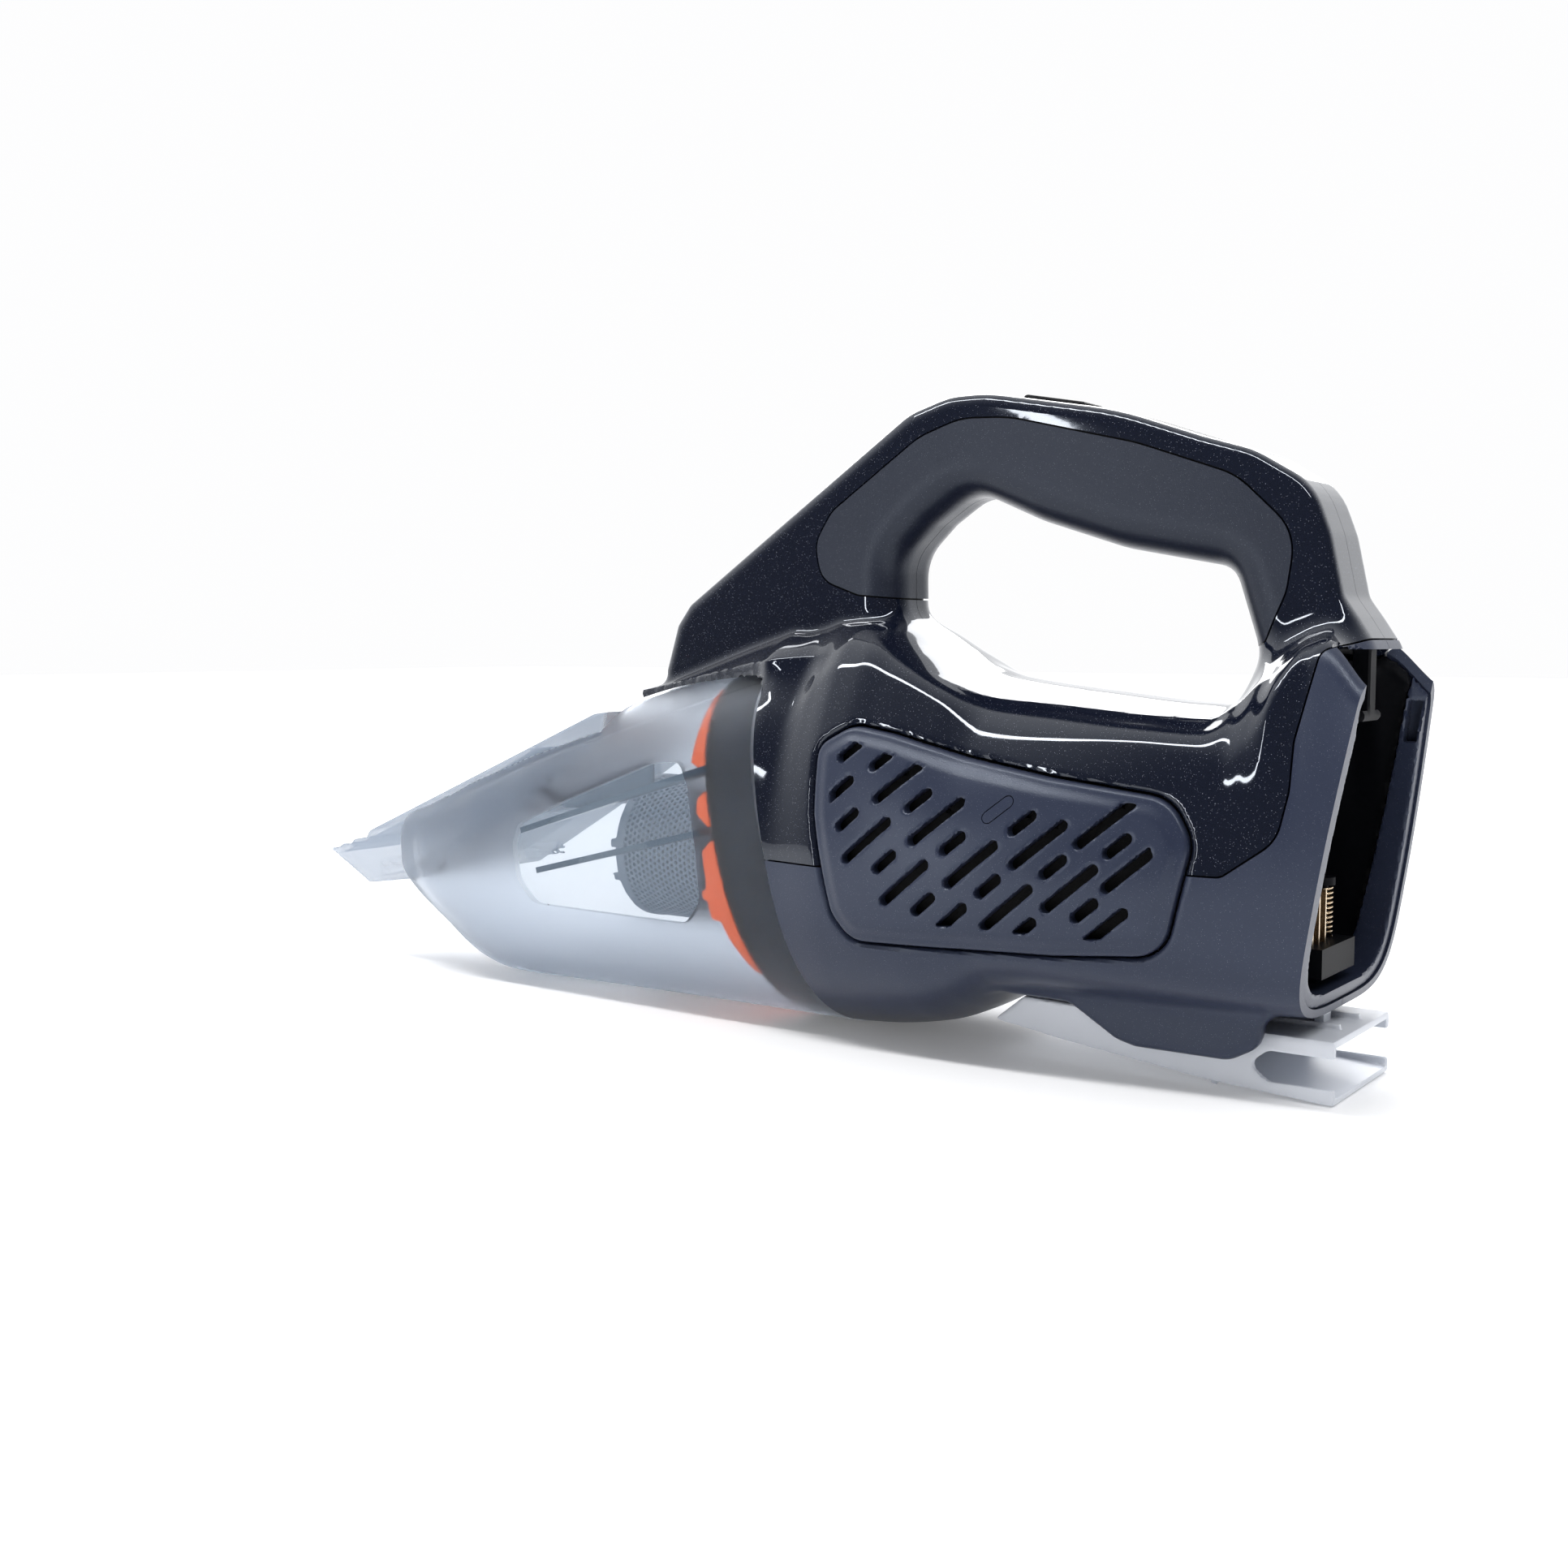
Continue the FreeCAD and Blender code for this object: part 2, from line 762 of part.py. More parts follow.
fan = doc.addObject("PartDesign::Body", "fan")
place(fan, 0, 0, D["axis_height"])
fan_profile = body_sketch(fan, "fan_profile", "XZ_Plane", 0)
draw(
    fan_profile,
    [
        (D["fan_front"] - 1, D["shaft_radius"]),
        (D["fan_front"] + 12, D["shaft_radius"]),
        (D["fan_front"] + 12, D["fan_radius"]),
        (D["fan_front"] + 10.5, D["fan_radius"]),
        (D["fan_front"] + 10.5, 9),
        (D["fan_front"] - 1, 6),
    ],
)
fan_disc = fan.newObject("PartDesign::Revolution", "fan_disc")
fan_disc.Profile = fan_profile
fan_disc.ReferenceAxis = (fan_profile, ["H_Axis"])
fan_disc.Angle = 360
blade_sketch = body_sketch(fan, "blade_sketch", "YZ_Plane", D["fan_front"])
draw(
    blade_sketch,
    [
        (8, -0.7),
        (D["fan_radius"] - 3, 9.3, -0.25),
        (D["fan_radius"] - 3, 10.9),
        (7.8, 0.9, 0.25),
    ],
)
doc.recompute()
blade_pad = fan.newObject("PartDesign::Pad", "blade_pad")
blade_pad.Profile = blade_sketch
blade_pad.Length = 11
blade_ring = fan.newObject("PartDesign::PolarPattern", "blade_ring")
blade_ring.Originals = [blade_pad]
blade_ring.Axis = (blade_sketch, ["N_Axis"])
blade_ring.Angle = 360
blade_ring.Occurrences = 11
fan.Tip = blade_ring
part("fan_impeller", fan)

# ---------------------------------------------------------------- bulkhead between bowl and fan

spigot_zone = side_prism(
    "spigot_zone",
    [
        (seam_line(-10, -13.2), -10),
        (60, -10),
        (60, 150),
        (seam_line(150, -13.2), 150),
    ],
)
SPIGOT = (D["bowl_half"] - 2.6, -60.2, 52.5, 37, 41)
SPIGOT_BORE = (D["bowl_half"] - 4.6, -58.2, 50.5, 35, 39)
spigot = cut("spigot", across("spigot_outer", -20, SPIGOT, 58), across("spigot_bore", -30, SPIGOT_BORE, 65))
bulkhead_plate = common("bulkhead_plate", across("bulkhead_block", 36, SPIGOT, 3), body_span)
inlet = rod("bulkhead_inlet", 30, 0, D["cup_height"], 22, 20)
bars = [box(f"inlet_bar_{i}", 36, -23, D["cup_height"] - 13 + 12 * i, 3, 46, 2) for i in range(3)]
part("front_bulkhead", fuse(
    "bulkhead",
    common("spigot_trimmed", spigot, spigot_zone),
    cut("bulkhead_holed", bulkhead_plate, inlet),
    *bars,
))

# ---------------------------------------------------------------- dust bowl, nozzle and flap

BOWL = [
    (D["nose_x"], 25, 38, 56, 7, 7),
    (-173, 30, 24, 62, 12, 12),
    (-152, 36, 5, 72, 22, 24),
    (-128, 41, 0, 83, 30, 30),
    (-60, 49, 0, D["bowl_top"] - 13, 38, 42),
    (0, D["bowl_half"], 0, D["bowl_top"], 40, 44),
    (38, D["bowl_half"], 0, D["bowl_top"] + 2, 40, 44),
]
bowl_span = side_prism(
    "bowl_span",
    [
        (-230, -20),
        (seam_line(-20, -0.4), -20),
        (seam_line(150, -0.4), 150),
        (-230, 150),
    ],
)
bowl_outer = lofted("bowl_outer", BOWL)
BOWL_INNER = [(D["nose_x"] + 2, 25, 38, 56, 7, 7)] + BOWL[1:]
bowl_inner = lofted("bowl_inner", BOWL_INNER, D["bowl_wall"])

NOZZLE = [
    (-197, 34),
    (-176, 38),
    (-112, 66),
    (-103, 97),
    (D["nozzle_tip"], 46),
]
DUCT = [
    (-195, 31),
    (-194.5, 36.3),
    (-175.5, 40.3),
    (-98, 74.2),
    (-98, 97.1),
    (-219, 43),
]
nozzle_block = side_prism("nozzle_block", NOZZLE, D["nozzle_half"])
duct = side_prism("duct", DUCT, D["nozzle_half"] - 2)
part("nozzle", cut("nozzle_piece", nozzle_block, duct))
ribs = common(
    "ribs",
    fuse(
        "rib_plates",
        left_prism("rib_high", [(-100, 61), (-13, 87), (-13, 89), (-100, 63)], 37, 60),
        left_prism("rib_low", [(-96, 47), (-13, 66.5), (-13, 68.5), (-96, 48.5)], 37, 60),
    ),
    bowl_outer,
)
part("dust_bowl", cut(
    "bowl_piece",
    common(
        "bowl_with_ribs",
        fuse("bowl_fused", cut("bowl_shell", bowl_outer, bowl_inner), ribs, mirror("ribs_right", ribs)),
        bowl_span,
    ),
    nozzle_block,
))
part("intake_flap", fuse(
    "flap",
    side_prism("flap_sheet", [(-108.6, 66.2), (-107.4, 66.2), (-102.4, 83), (-103.6, 83)], 29),
    rod("flap_pin", -103, -29, 82.8, 1.2, 58, ALONG_Y),
))

# ---------------------------------------------------------------- filter

RING = (49, -59.5, 55.5, 37, 41)
RING_BORE = (45, -55.5, 51.5, 33, 37)
ring_band = cut(
    "ring_band",
    across("ring_outer", D["rim_x"] - 8, RING, 7, LEAN_ANGLE),
    across("ring_hollow", D["rim_x"] - 11, RING_BORE, 8, LEAN_ANGLE),
)
collar = rod("collar", D["rim_x"] - 12, 0, D["cup_height"], D["cup_radius"] + 2.4, 17)
cup_hole = rod("cup_hole", -80, 0, D["cup_height"], D["cup_radius"], 120)
part("filter_ring", cut("ring_piece", fuse("ring_stock", ring_band, collar), cup_hole))
part("filter_gasket", cut(
    "gasket",
    across("gasket_outer", D["rim_x"] - 0.8, RING, 2.4, LEAN_ANGLE),
    across("gasket_hole", D["rim_x"] - 10, RING_BORE, 20, LEAN_ANGLE),
    rod("gasket_collar_gap", D["rim_x"] - 20, 0, D["cup_height"], D["cup_radius"] + 2.4, 40),
))
part("mesh_prefilter", cut(
    "cup",
    rod("cup_outer", D["cup_front"], 0, D["cup_height"], D["cup_radius"], D["rim_x"] - D["cup_front"] + 5),
    rod("cup_inner", D["cup_front"] + 1.2, 0, D["cup_height"], D["cup_radius"] - 1, 90),
))

pleats = doc.addObject("PartDesign::Body", "pleats")
place(pleats, 0, 0, D["cup_height"])
star = body_sketch(pleats, "star", "YZ_Plane", D["cup_front"] + 5)
PLEATS = 18
points = []
for index in range(PLEATS * 2):
    angle = math.pi * index / PLEATS
    radius = (D["cup_radius"] - 3) if index % 2 == 0 else (D["cup_radius"] - 10)
    points.append((radius * math.cos(angle), radius * math.sin(angle)))
draw(star, points)
star_pad = pleats.newObject("PartDesign::Pad", "star_pad")
star_pad.Profile = star
bind(star_pad, "Length", D["rim_x"] - D["cup_front"] - 1)
part("pleated_filter", cut(
    "pleated_piece",
    pleats,
    rod("pleat_bore", D["cup_front"] + 8, 0, D["cup_height"], D["cup_radius"] - 12.5, 90),
))

# ---------------------------------------------------------------- crevice tool

TOOL = [
    (D["tool_front"], 11),
    (170, 2),
    (D["tool_rear"], 0),
    (D["tool_rear"], D["tool_height"]),
    (D["tool_front"] + 11, D["tool_height"]),
]
TOOL_HOLLOW = [
    (90, 13.7),
    (170, 3.8),
    (215, 1.8),
    (215, D["tool_height"] - D["tool_wall"]),
    (98, D["tool_height"] - D["tool_wall"]),
]
tool = cut(
    "tool",
    side_prism("tool_block", TOOL, D["tool_half"]),
    side_prism("tool_hollow", TOOL_HOLLOW, D["tool_half"] - D["tool_wall"]),
    box("tool_slot", 186, -40, 5, 40, 80, 9),
    rod("tool_slot_end", 186, -40, 9.5, 4.5, 80, ALONG_Y),
)
part("crevice_tool", fuse(
    "tool_with_tabs",
    tool,
    box("tool_peg", 169.5, -24, 0.2, 3, 3, 3),
    box("tool_tab", 194, -4, D["tool_height"] - 0.5, 4, 8, 3.8),
    box("tool_rib_near", 188, -14, D["tool_height"] - 0.5, 18, 1.4, 1.5),
    box("tool_rib_far", 188, 12.6, D["tool_height"] - 0.5, 18, 1.4, 1.5),
))

# ---------------------------------------------------------------- write

doc.recompute()
slider_pad_round.Edges = [(number, 1.2, 1.2) for number in (2, 4, 6, 8, 10, 12)]
doc.recompute()

for thing in doc.Objects:
    if "Invalid" in thing.State or "Error" in thing.State:
        raise RuntimeError(f"{thing.Name} did not recompute: {thing.State}")
os.makedirs("parts", exist_ok=True)
for label, thing in PARTS.items():
    shape = thing.Shape
    if shape.isNull() or not shape.isValid():
        raise RuntimeError(f"{label} has no valid shape")
    print(f"{label:22} solids {len(shape.Solids):2}  volume {shape.Volume / 1000:8.2f} cm3")
    shape.exportStep(f"parts/{label}.step")
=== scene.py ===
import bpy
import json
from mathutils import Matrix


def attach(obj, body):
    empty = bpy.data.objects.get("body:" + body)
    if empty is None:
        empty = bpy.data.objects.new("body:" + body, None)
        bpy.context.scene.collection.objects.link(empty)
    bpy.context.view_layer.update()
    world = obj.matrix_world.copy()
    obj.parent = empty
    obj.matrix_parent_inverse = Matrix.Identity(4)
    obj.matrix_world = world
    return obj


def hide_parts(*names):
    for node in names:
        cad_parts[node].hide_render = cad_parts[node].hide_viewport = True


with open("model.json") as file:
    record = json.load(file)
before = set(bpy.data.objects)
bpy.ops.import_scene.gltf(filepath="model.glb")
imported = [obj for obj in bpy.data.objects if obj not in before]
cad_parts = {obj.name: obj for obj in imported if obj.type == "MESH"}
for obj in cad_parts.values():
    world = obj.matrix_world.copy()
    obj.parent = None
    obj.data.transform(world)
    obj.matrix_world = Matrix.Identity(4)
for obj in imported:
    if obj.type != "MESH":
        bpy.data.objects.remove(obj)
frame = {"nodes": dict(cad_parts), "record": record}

"""Looks of the cordless hand vacuum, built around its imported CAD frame.

Every length is in millimetres until a mesh is made. The nozzle points to -X, the battery bay to +X,
the left side is -Y and +Z is up. Skins are meshed from distance fields: a field is negative inside,
and a piece is the space where all of its fields are negative.
"""

import json
import math

import bpy
import numpy as np
from mathutils import Vector

MM = 0.001
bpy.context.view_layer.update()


def mesh_step(full):
    """The spacing of a mesh's points: always the full spacing given."""
    return full


STEP = mesh_step(1.1)

# ---------------------------------------------------------------- camera

camera = bpy.data.objects.new("camera", bpy.data.cameras.new("camera"))
bpy.context.scene.collection.objects.link(camera)
camera.location = (0.3639, -0.5068, 0.1338)
camera.rotation_euler = (math.radians(85.21), 0, math.radians(36.05))
camera.data.sensor_width = 36
camera.data.lens = 39.13
bpy.context.scene.camera = camera

# ---------------------------------------------------------------- curves and fields


def curve_through(*pairs):
    """A smooth function through (x, value) pairs that doesn't overshoot, flat beyond its ends."""
    xs, ys = np.array(pairs, float).T
    slope = np.diff(ys) / np.diff(xs)
    tangent = np.concatenate([slope[:1], np.zeros(len(xs) - 2), slope[-1:]])
    before, after = slope[:-1], slope[1:]
    same = before * after > 0
    mean = 2 * before * after / np.where(same, before + after, 1)
    tangent[1:-1] = np.where(same, mean, 0)

    def value(x):
        x = np.clip(x, xs[0], xs[-1])
        i = np.clip(np.searchsorted(xs, x) - 1, 0, len(xs) - 2)
        gap = xs[i + 1] - xs[i]
        t = (x - xs[i]) / gap
        start = (1 + 2 * t) * (1 - t) ** 2 * ys[i] + t * (1 - t) ** 2 * gap * tangent[i]
        end = t * t * (3 - 2 * t) * ys[i + 1] + t * t * (t - 1) * gap * tangent[i + 1]
        return start + end

    return value


def ramp(x, low, high):
    """A smooth rise from 0 at low to 1 at high."""
    t = np.clip((x - low) / (high - low), 0, 1)
    return t * t * (3 - 2 * t)


def smooth_max(a, b, r):
    """The larger of two distances, with a fillet where they are nearly equal."""
    near = np.maximum(r - np.abs(a - b), 0)
    return np.maximum(a, b) + near * near / (4 * r)


def smooth_min(a, b, r):
    return -smooth_max(-a, -b, r)


def round_max(a, b, r):
    """Where two distances are both negative, with the edge between them rounded to a radius."""
    u, v = a + r, b + r
    return np.minimum(np.maximum(u, v), 0) + np.hypot(np.maximum(u, 0), np.maximum(v, 0)) - r


def rounded(points):
    """A closed outline from (x, z) or (x, z, radius) corners, with each radius drawn as a short curve."""
    corners = [np.array(p[:2], float) for p in points]
    outline = []
    for i, point in enumerate(points):
        here, last, after = corners[i], corners[i - 1], corners[(i + 1) % len(corners)]
        radius = point[2] if len(point) > 2 else 0
        if radius == 0:
            outline.append(here)
            continue
        back, ahead = last - here, after - here
        back_length, ahead_length = np.linalg.norm(back), np.linalg.norm(ahead)
        back, ahead = back / back_length, ahead / ahead_length
        half_angle = math.acos(np.clip(back @ ahead, -1, 1)) / 2
        reach = min(radius / math.tan(half_angle), 0.49 * back_length, 0.49 * ahead_length)
        for t in np.linspace(0, 1, 7):
            outline.append(here + back * reach * (1 - t) ** 2 + ahead * reach * t * t)
    return np.array(outline)


class SideView:
    """A distance that is the same at every y. flat gives it from x and z alone."""

    def __call__(self, x, y, z):
        if x.ndim == 3:
            px, pz = np.broadcast_arrays(x[:, 0, 0][:, None], z[0, 0, :][None, :])
            return self.flat(px, pz)[:, None, :]
        return self.flat(x, z)


class Outline(SideView):
    """The signed distance to a closed outline seen from the side."""

    def __init__(self, points):
        self.points = rounded(points)

    def flat(self, px, pz):
        nearest = np.full(px.shape, 1e12)
        inside = np.zeros(px.shape, bool)
        for (ax, az), (bx, bz) in zip(self.points, np.roll(self.points, -1, 0)):
            ex, ez = bx - ax, bz - az
            t = np.clip(((px - ax) * ex + (pz - az) * ez) / (ex * ex + ez * ez + 1e-12), 0, 1)
            nearest = np.minimum(nearest, (px - ax - t * ex) ** 2 + (pz - az - t * ez) ** 2)
            if az != bz:
                inside ^= ((az > pz) != (bz > pz)) & (px < ex * (pz - az) / ez + ax)
        return np.where(inside, -1, 1) * np.sqrt(nearest)


# ---------------------------------------------------------------- meshing


PROBE = 0.02  # how far from a point a field's slope is measured
PASSES = 3  # how many times a point is moved on to its surfaces
DAMPING = 0.02  # keeps a move small where two surfaces are nearly parallel
OPPOSITE = -0.5  # surfaces that face apart more than this are the two sides of a thin wall
MOST_DRIFT = 1.3  # how many steps a point may move in all


def gradient(field, p):
    """Value and slope of a field at points."""
    value = field(*p.T)
    slope = [(field(*(p + step).T) - value) / PROBE for step in np.eye(3) * PROBE]
    return value, np.stack(slope, 1)


def mesh_of(fields, low, high, step):
    """Vertices and quads of the space where every field is negative, sharp where two fields meet."""
    counts = [int(math.ceil((b - a) / step)) + 1 for a, b in zip(low, high)]
    axes = [a + step * np.arange(n) for a, n in zip(low, counts)]
    x, y, z = axes[0][:, None, None], axes[1][None, :, None], axes[2][None, None, :]
    parts = np.stack([np.broadcast_to(f(x, y, z), counts).astype(np.float32) for f in fields])
    whole = parts.max(0)
    whole[whole == 0] = 1e-6
    cells = [n - 1 for n in counts]
    total = int(np.prod(cells))
    summed, hits, labels = np.zeros((total, 3)), np.zeros(total), np.zeros(total, int)
    edge_lists = []
    strides = np.array([cells[1] * cells[2], cells[2], 1])
    # Find the grid edges that the surface crosses, and give each cell the mean of its crossings.
    for axis in range(3):
        first = [slice(None)] * 3
        second = [slice(None)] * 3
        first[axis], second[axis] = slice(None, -1), slice(1, None)
        a, b = whole[tuple(first)], whole[tuple(second)]
        at = np.argwhere((a < 0) != (b < 0))
        rows = tuple(at.T)
        share = (a[rows] / (a[rows] - b[rows]))[:, None]
        point = at.astype(float)
        point[:, axis] += share[:, 0]
        lows = parts[(slice(None), *first)][(slice(None), *rows)]
        highs = parts[(slice(None), *second)][(slice(None), *rows)]
        label = (lows * (1 - share.T) + highs * share.T).argmax(0)
        others = [k for k in range(3) if k != axis]
        around = []
        for du, dv in ((0, 0), (1, 0), (1, 1), (0, 1)):
            cell = at.copy()
            cell[:, others[0]] -= du
            cell[:, others[1]] -= dv
            ok = np.all((cell >= 0) & (cell < cells), 1)
            index = np.where(ok, cell @ strides, -1)
            around.append(index)
            keep = index[ok]
            for k in range(3):
                summed[:, k] += np.bincount(keep, point[ok, k], total)
            hits += np.bincount(keep, minlength=total)
            for kind in np.unique(label):
                touched = np.bincount(keep[label[ok] == kind], minlength=total) > 0
                labels |= touched.astype(int) << int(kind)
        edge_lists.append((np.stack(around, 1), a[rows] < 0, axis))
    used = np.flatnonzero(hits)
    number = np.full(total + 1, -1)
    number[used] = np.arange(len(used))
    start = summed[used] / hits[used, None] * step + np.array(low)
    points = start.copy()
    masks = labels[used]
    # Move each point on to the surfaces that meet in its cell.
    for mask in np.unique(masks):
        rows = np.flatnonzero(masks == mask)
        active = [f for k, f in enumerate(fields) if mask >> k & 1]
        p = points[rows]
        for _ in range(PASSES):
            found = [gradient(f, p) for f in active]
            value = np.stack([v for v, _ in found], 1)
            slope = np.stack([s for _, s in found], 1)
            for i in range(len(active)):
                for j in range(i):
                    facing = (slope[:, i] * slope[:, j]).sum(1) < OPPOSITE
                    farther = np.abs(value[:, i]) > np.abs(value[:, j])
                    for k, drop in ((i, facing & farther), (j, facing & ~farther)):
                        value[drop, k] = 0
                        slope[drop, k] = 0
            square = slope @ slope.transpose(0, 2, 1) + np.eye(len(active)) * DAMPING
            move = -(slope.transpose(0, 2, 1) @ np.linalg.solve(square, value[:, :, None]))[:, :, 0]
            length = np.linalg.norm(move, axis=1, keepdims=True)
            p = p + move * np.minimum(1, step / np.maximum(length, 1e-9))
        drift = p - start[rows]
        length = np.linalg.norm(drift, axis=1, keepdims=True)
        points[rows] = start[rows] + drift * np.minimum(1, MOST_DRIFT * step / np.maximum(length, 1e-9))
    # Join the four cells round each crossed edge.
    quads = []
    for around, inward, axis in edge_lists:
        quad = number[around]
        full = (around >= 0).all(1) & (quad >= 0).all(1)
        quad, inward = quad[full], inward[full]
        flip = inward if axis == 1 else ~inward
        quad[flip] = quad[flip][:, ::-1]
        quads.append(quad)
    return points, np.concatenate(quads), masks


def link(name, mesh, body, material, replaces=()):
    """Puts a mesh in the scene as a piece on a body."""
    piece = bpy.data.objects.new(name, mesh)
    bpy.context.scene.collection.objects.link(piece)
    if not mesh.materials:
        mesh.materials.append(material)
    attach(piece, body)
    if replaces:
        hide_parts(*replaces)
    return piece


def mesh_from(name, points, faces, sharp_angle=35):
    """A mesh with smooth shading, except over edges sharper than an angle."""
    mesh = bpy.data.meshes.new(name)
    mesh.from_pydata((np.asarray(points) * MM).tolist(), [], [list(map(int, f)) for f in faces])
    mesh.validate()
    mesh.update()
    mesh.polygons.foreach_set("use_smooth", np.ones(len(mesh.polygons), bool))
    mesh.set_sharp_from_angle(angle=math.radians(sharp_angle))
    return mesh


SIDE_FACES = 20  # paint is only on faces farther than this from the middle plane
SOFT_EDGE_ANGLE = 40


def field_piece(
    name, fields, low, high, body, material, replaces=(), step=None, mirrored=None, bevel=0, paint=None
):
    """A piece meshed from fields inside a box. mirrored names its twin on the right side and what that replaces.

    paint is an outline and the material of what lies inside it, seen from the side.
    """
    step = step or STEP
    points, quads, masks = mesh_of(fields, low, high, step)
    if paint:
        outline, second = paint
        # Draw the points beside the outline on to it, so the paint has a clean edge.
        for k, field in enumerate(fields):
            rows = np.flatnonzero((masks == 1 << k) & (np.abs(outline.flat(points[:, 0], points[:, 2])) < 0.75 * step))
            p = points[rows]
            for _ in range(PASSES):
                for target in (outline, field):
                    value, slope = gradient(target, p)
                    p = p - slope * (value / np.maximum((slope**2).sum(1), 0.2))[:, None]
            points[rows] = p
    made = [link(name, mesh_from(name, points, quads), body, material, replaces)]
    if paint:
        made[0].data.materials.append(second)
        centres = points[quads].mean(1)
        inside = (outline.flat(centres[:, 0], centres[:, 2]) < 0) & (np.abs(centres[:, 1]) > SIDE_FACES)
        made[0].data.polygons.foreach_set("material_index", inside.astype(np.int32))
    if mirrored:
        twin = mesh_from(mirrored[0], points * (1, -1, 1), quads[:, ::-1])
        made.append(link(mirrored[0], twin, body, material, mirrored[1]))
    for piece in made:
        if bevel:
            edge = piece.modifiers.new("soft_edges", "BEVEL")
            edge.limit_method = "ANGLE"
            edge.angle_limit = math.radians(SOFT_EDGE_ANGLE)
            edge.width = bevel * MM
            edge.segments = 2
            edge.harden_normals = True


# ---------------------------------------------------------------- materials

COOL = (0.8, 0.88, 1.0, 1)  # tint of the sheen on the dark blue plastics
GLINT = (0.75, 0.78, 0.9, 1)  # colour of the metal flecks
FLECK_SIZE, FLECK_FROM = 0.22, 0.8  # size in its cell, and the share of cells left without one
RELIEF = 0.0002  # depth of moulded grain, in metres
CLEAR_GRAIN, CLEAR_GRAIN_SCALE = 0.03, 900

def material_of(name, **settings):
    """A material with a Principled shader. Returns it with its nodes and links."""
    made = bpy.data.materials.new(name)
    made.use_nodes = True
    nodes, links = made.node_tree.nodes, made.node_tree.links
    shader = nodes["Principled BSDF"]
    for socket, value in settings.items():
        shader.inputs[socket.replace("_", " ")].default_value = value
    return made, nodes, links, shader


def node_maker(nodes, links):
    """A function that adds a shader node and sets each input to a value, or joins it to another node's output."""

    def add(kind, inputs, **settings):
        node = nodes.new("ShaderNode" + kind)
        for setting, value in settings.items():
            setattr(node, setting, value)
        for socket, value in inputs.items():
            if isinstance(value, bpy.types.NodeSocket):
                links.new(value, node.inputs[socket])
            else:
                node.inputs[socket].default_value = value
        return node

    return add


def bumped(add, links, shader, height, strength):
    """Fine relief on a surface."""
    bump = add("Bump", {"Strength": strength, "Distance": RELIEF, "Height": height})
    links.new(bump.outputs["Normal"], shader.inputs["Normal"])


def moulded(name, color, roughness, fleck=0.0, fleck_scale=3300, grain=0.0, grain_scale=2500, mottle=0.06, **more):
    """Moulded plastic: slight mottling, fine moulded grain and, where asked, metal flecks."""
    made, nodes, links, shader = material_of(name, Roughness=roughness, **more)
    add = node_maker(nodes, links)
    place = add("TexCoord", {}).outputs["Object"]
    cloud = add("TexNoise", {"Scale": 60, "Detail": 4, "Vector": place})
    dark, light = (tuple(c * (1 + s * mottle) for c in color) + (1,) for s in (-1, 1))
    tone = add("Mix", {"A": dark, "B": light, "Factor": cloud.outputs["Fac"]}, data_type="RGBA")
    surface = tone.outputs["Result"]
    if fleck:
        spots = add("TexVoronoi", {"Scale": fleck_scale, "Vector": place})
        small = add("Math", {0: spots.outputs["Distance"], 1: FLECK_SIZE}, operation="LESS_THAN")
        pick = add("SeparateColor", {"Color": spots.outputs["Color"]})
        few = add("MapRange", {"From Min": FLECK_FROM, "From Max": 1.0, "To Max": fleck, "Value": pick.outputs["Red"]})
        amount = add("Math", {0: small.outputs["Value"], 1: few.outputs["Result"]}, operation="MULTIPLY")
        glint = add("Mix", {"A": surface, "B": GLINT, "Factor": amount.outputs["Value"]}, data_type="RGBA")
        surface = glint.outputs["Result"]
    links.new(surface, shader.inputs["Base Color"])
    if grain:
        fine = add("TexNoise", {"Scale": grain_scale, "Detail": 2, "Vector": place})
        bumped(add, links, shader, fine.outputs["Fac"], grain)
    return made


def see_through(name, color, edge, roughness, alpha, edge_alpha, transmission, **more):
    """Tinted plastic that looks darker and denser where it's seen edge on."""
    made, nodes, links, shader = material_of(name, Roughness=roughness, Transmission_Weight=transmission, **more)
    add = node_maker(nodes, links)
    place = add("TexCoord", {}).outputs["Object"]
    fine = add("TexNoise", {"Scale": CLEAR_GRAIN_SCALE, "Vector": place})
    bumped(add, links, shader, fine.outputs["Fac"], CLEAR_GRAIN)
    facing = add("LayerWeight", {"Blend": 0.35}).outputs["Facing"]
    tint = add("Mix", {"A": (*color, 1), "B": (*edge, 1), "Factor": facing}, data_type="RGBA")
    links.new(tint.outputs["Result"], shader.inputs["Base Color"])
    if alpha < 1:
        cover = add("MapRange", {"To Min": alpha, "To Max": edge_alpha, "Value": facing})
        links.new(cover.outputs["Result"], shader.inputs["Alpha"])
    return made


gloss = moulded(
    "gloss_shell", (0.0055, 0.0075, 0.016), 0.05, fleck=0.5, fleck_scale=3000, IOR=1.45, Coat_Weight=0.3,
    Coat_Roughness=0.02, Specular_Tint=COOL,
)
matte = moulded("matte_shell", (0.022, 0.028, 0.053), 0.31, fleck=0.25, grain=0.2, IOR=1.46, Specular_Tint=COOL)
grip = moulded("grip", (0.008, 0.01, 0.02), 0.33, fleck=0.2, grain=0.3, IOR=1.42, Specular_Tint=COOL)
black = moulded("black_plastic", (0.003, 0.0034, 0.005), 0.5, grain=0.1, IOR=1.2)
collar = moulded("collar_plastic", (0.003, 0.01, 0.026), 0.42, IOR=1.32, Specular_Tint=COOL)
# The orange plastic is given a faint glow: painted light, so the lugs stay bright. It is no lamp.
orange = moulded(
    "orange_plastic", (1.0, 0.16, 0.03), 0.4, mottle=0.03, Emission_Color=(1.0, 0.13, 0.02, 1), Emission_Strength=0.45
)
tool_plastic = moulded("tool_plastic", (0.72, 0.75, 0.81), 0.3, grain=0.08, mottle=0.02)
steel = moulded("mesh_metal", (0.17, 0.2, 0.25), 0.4, Metallic=0.5)
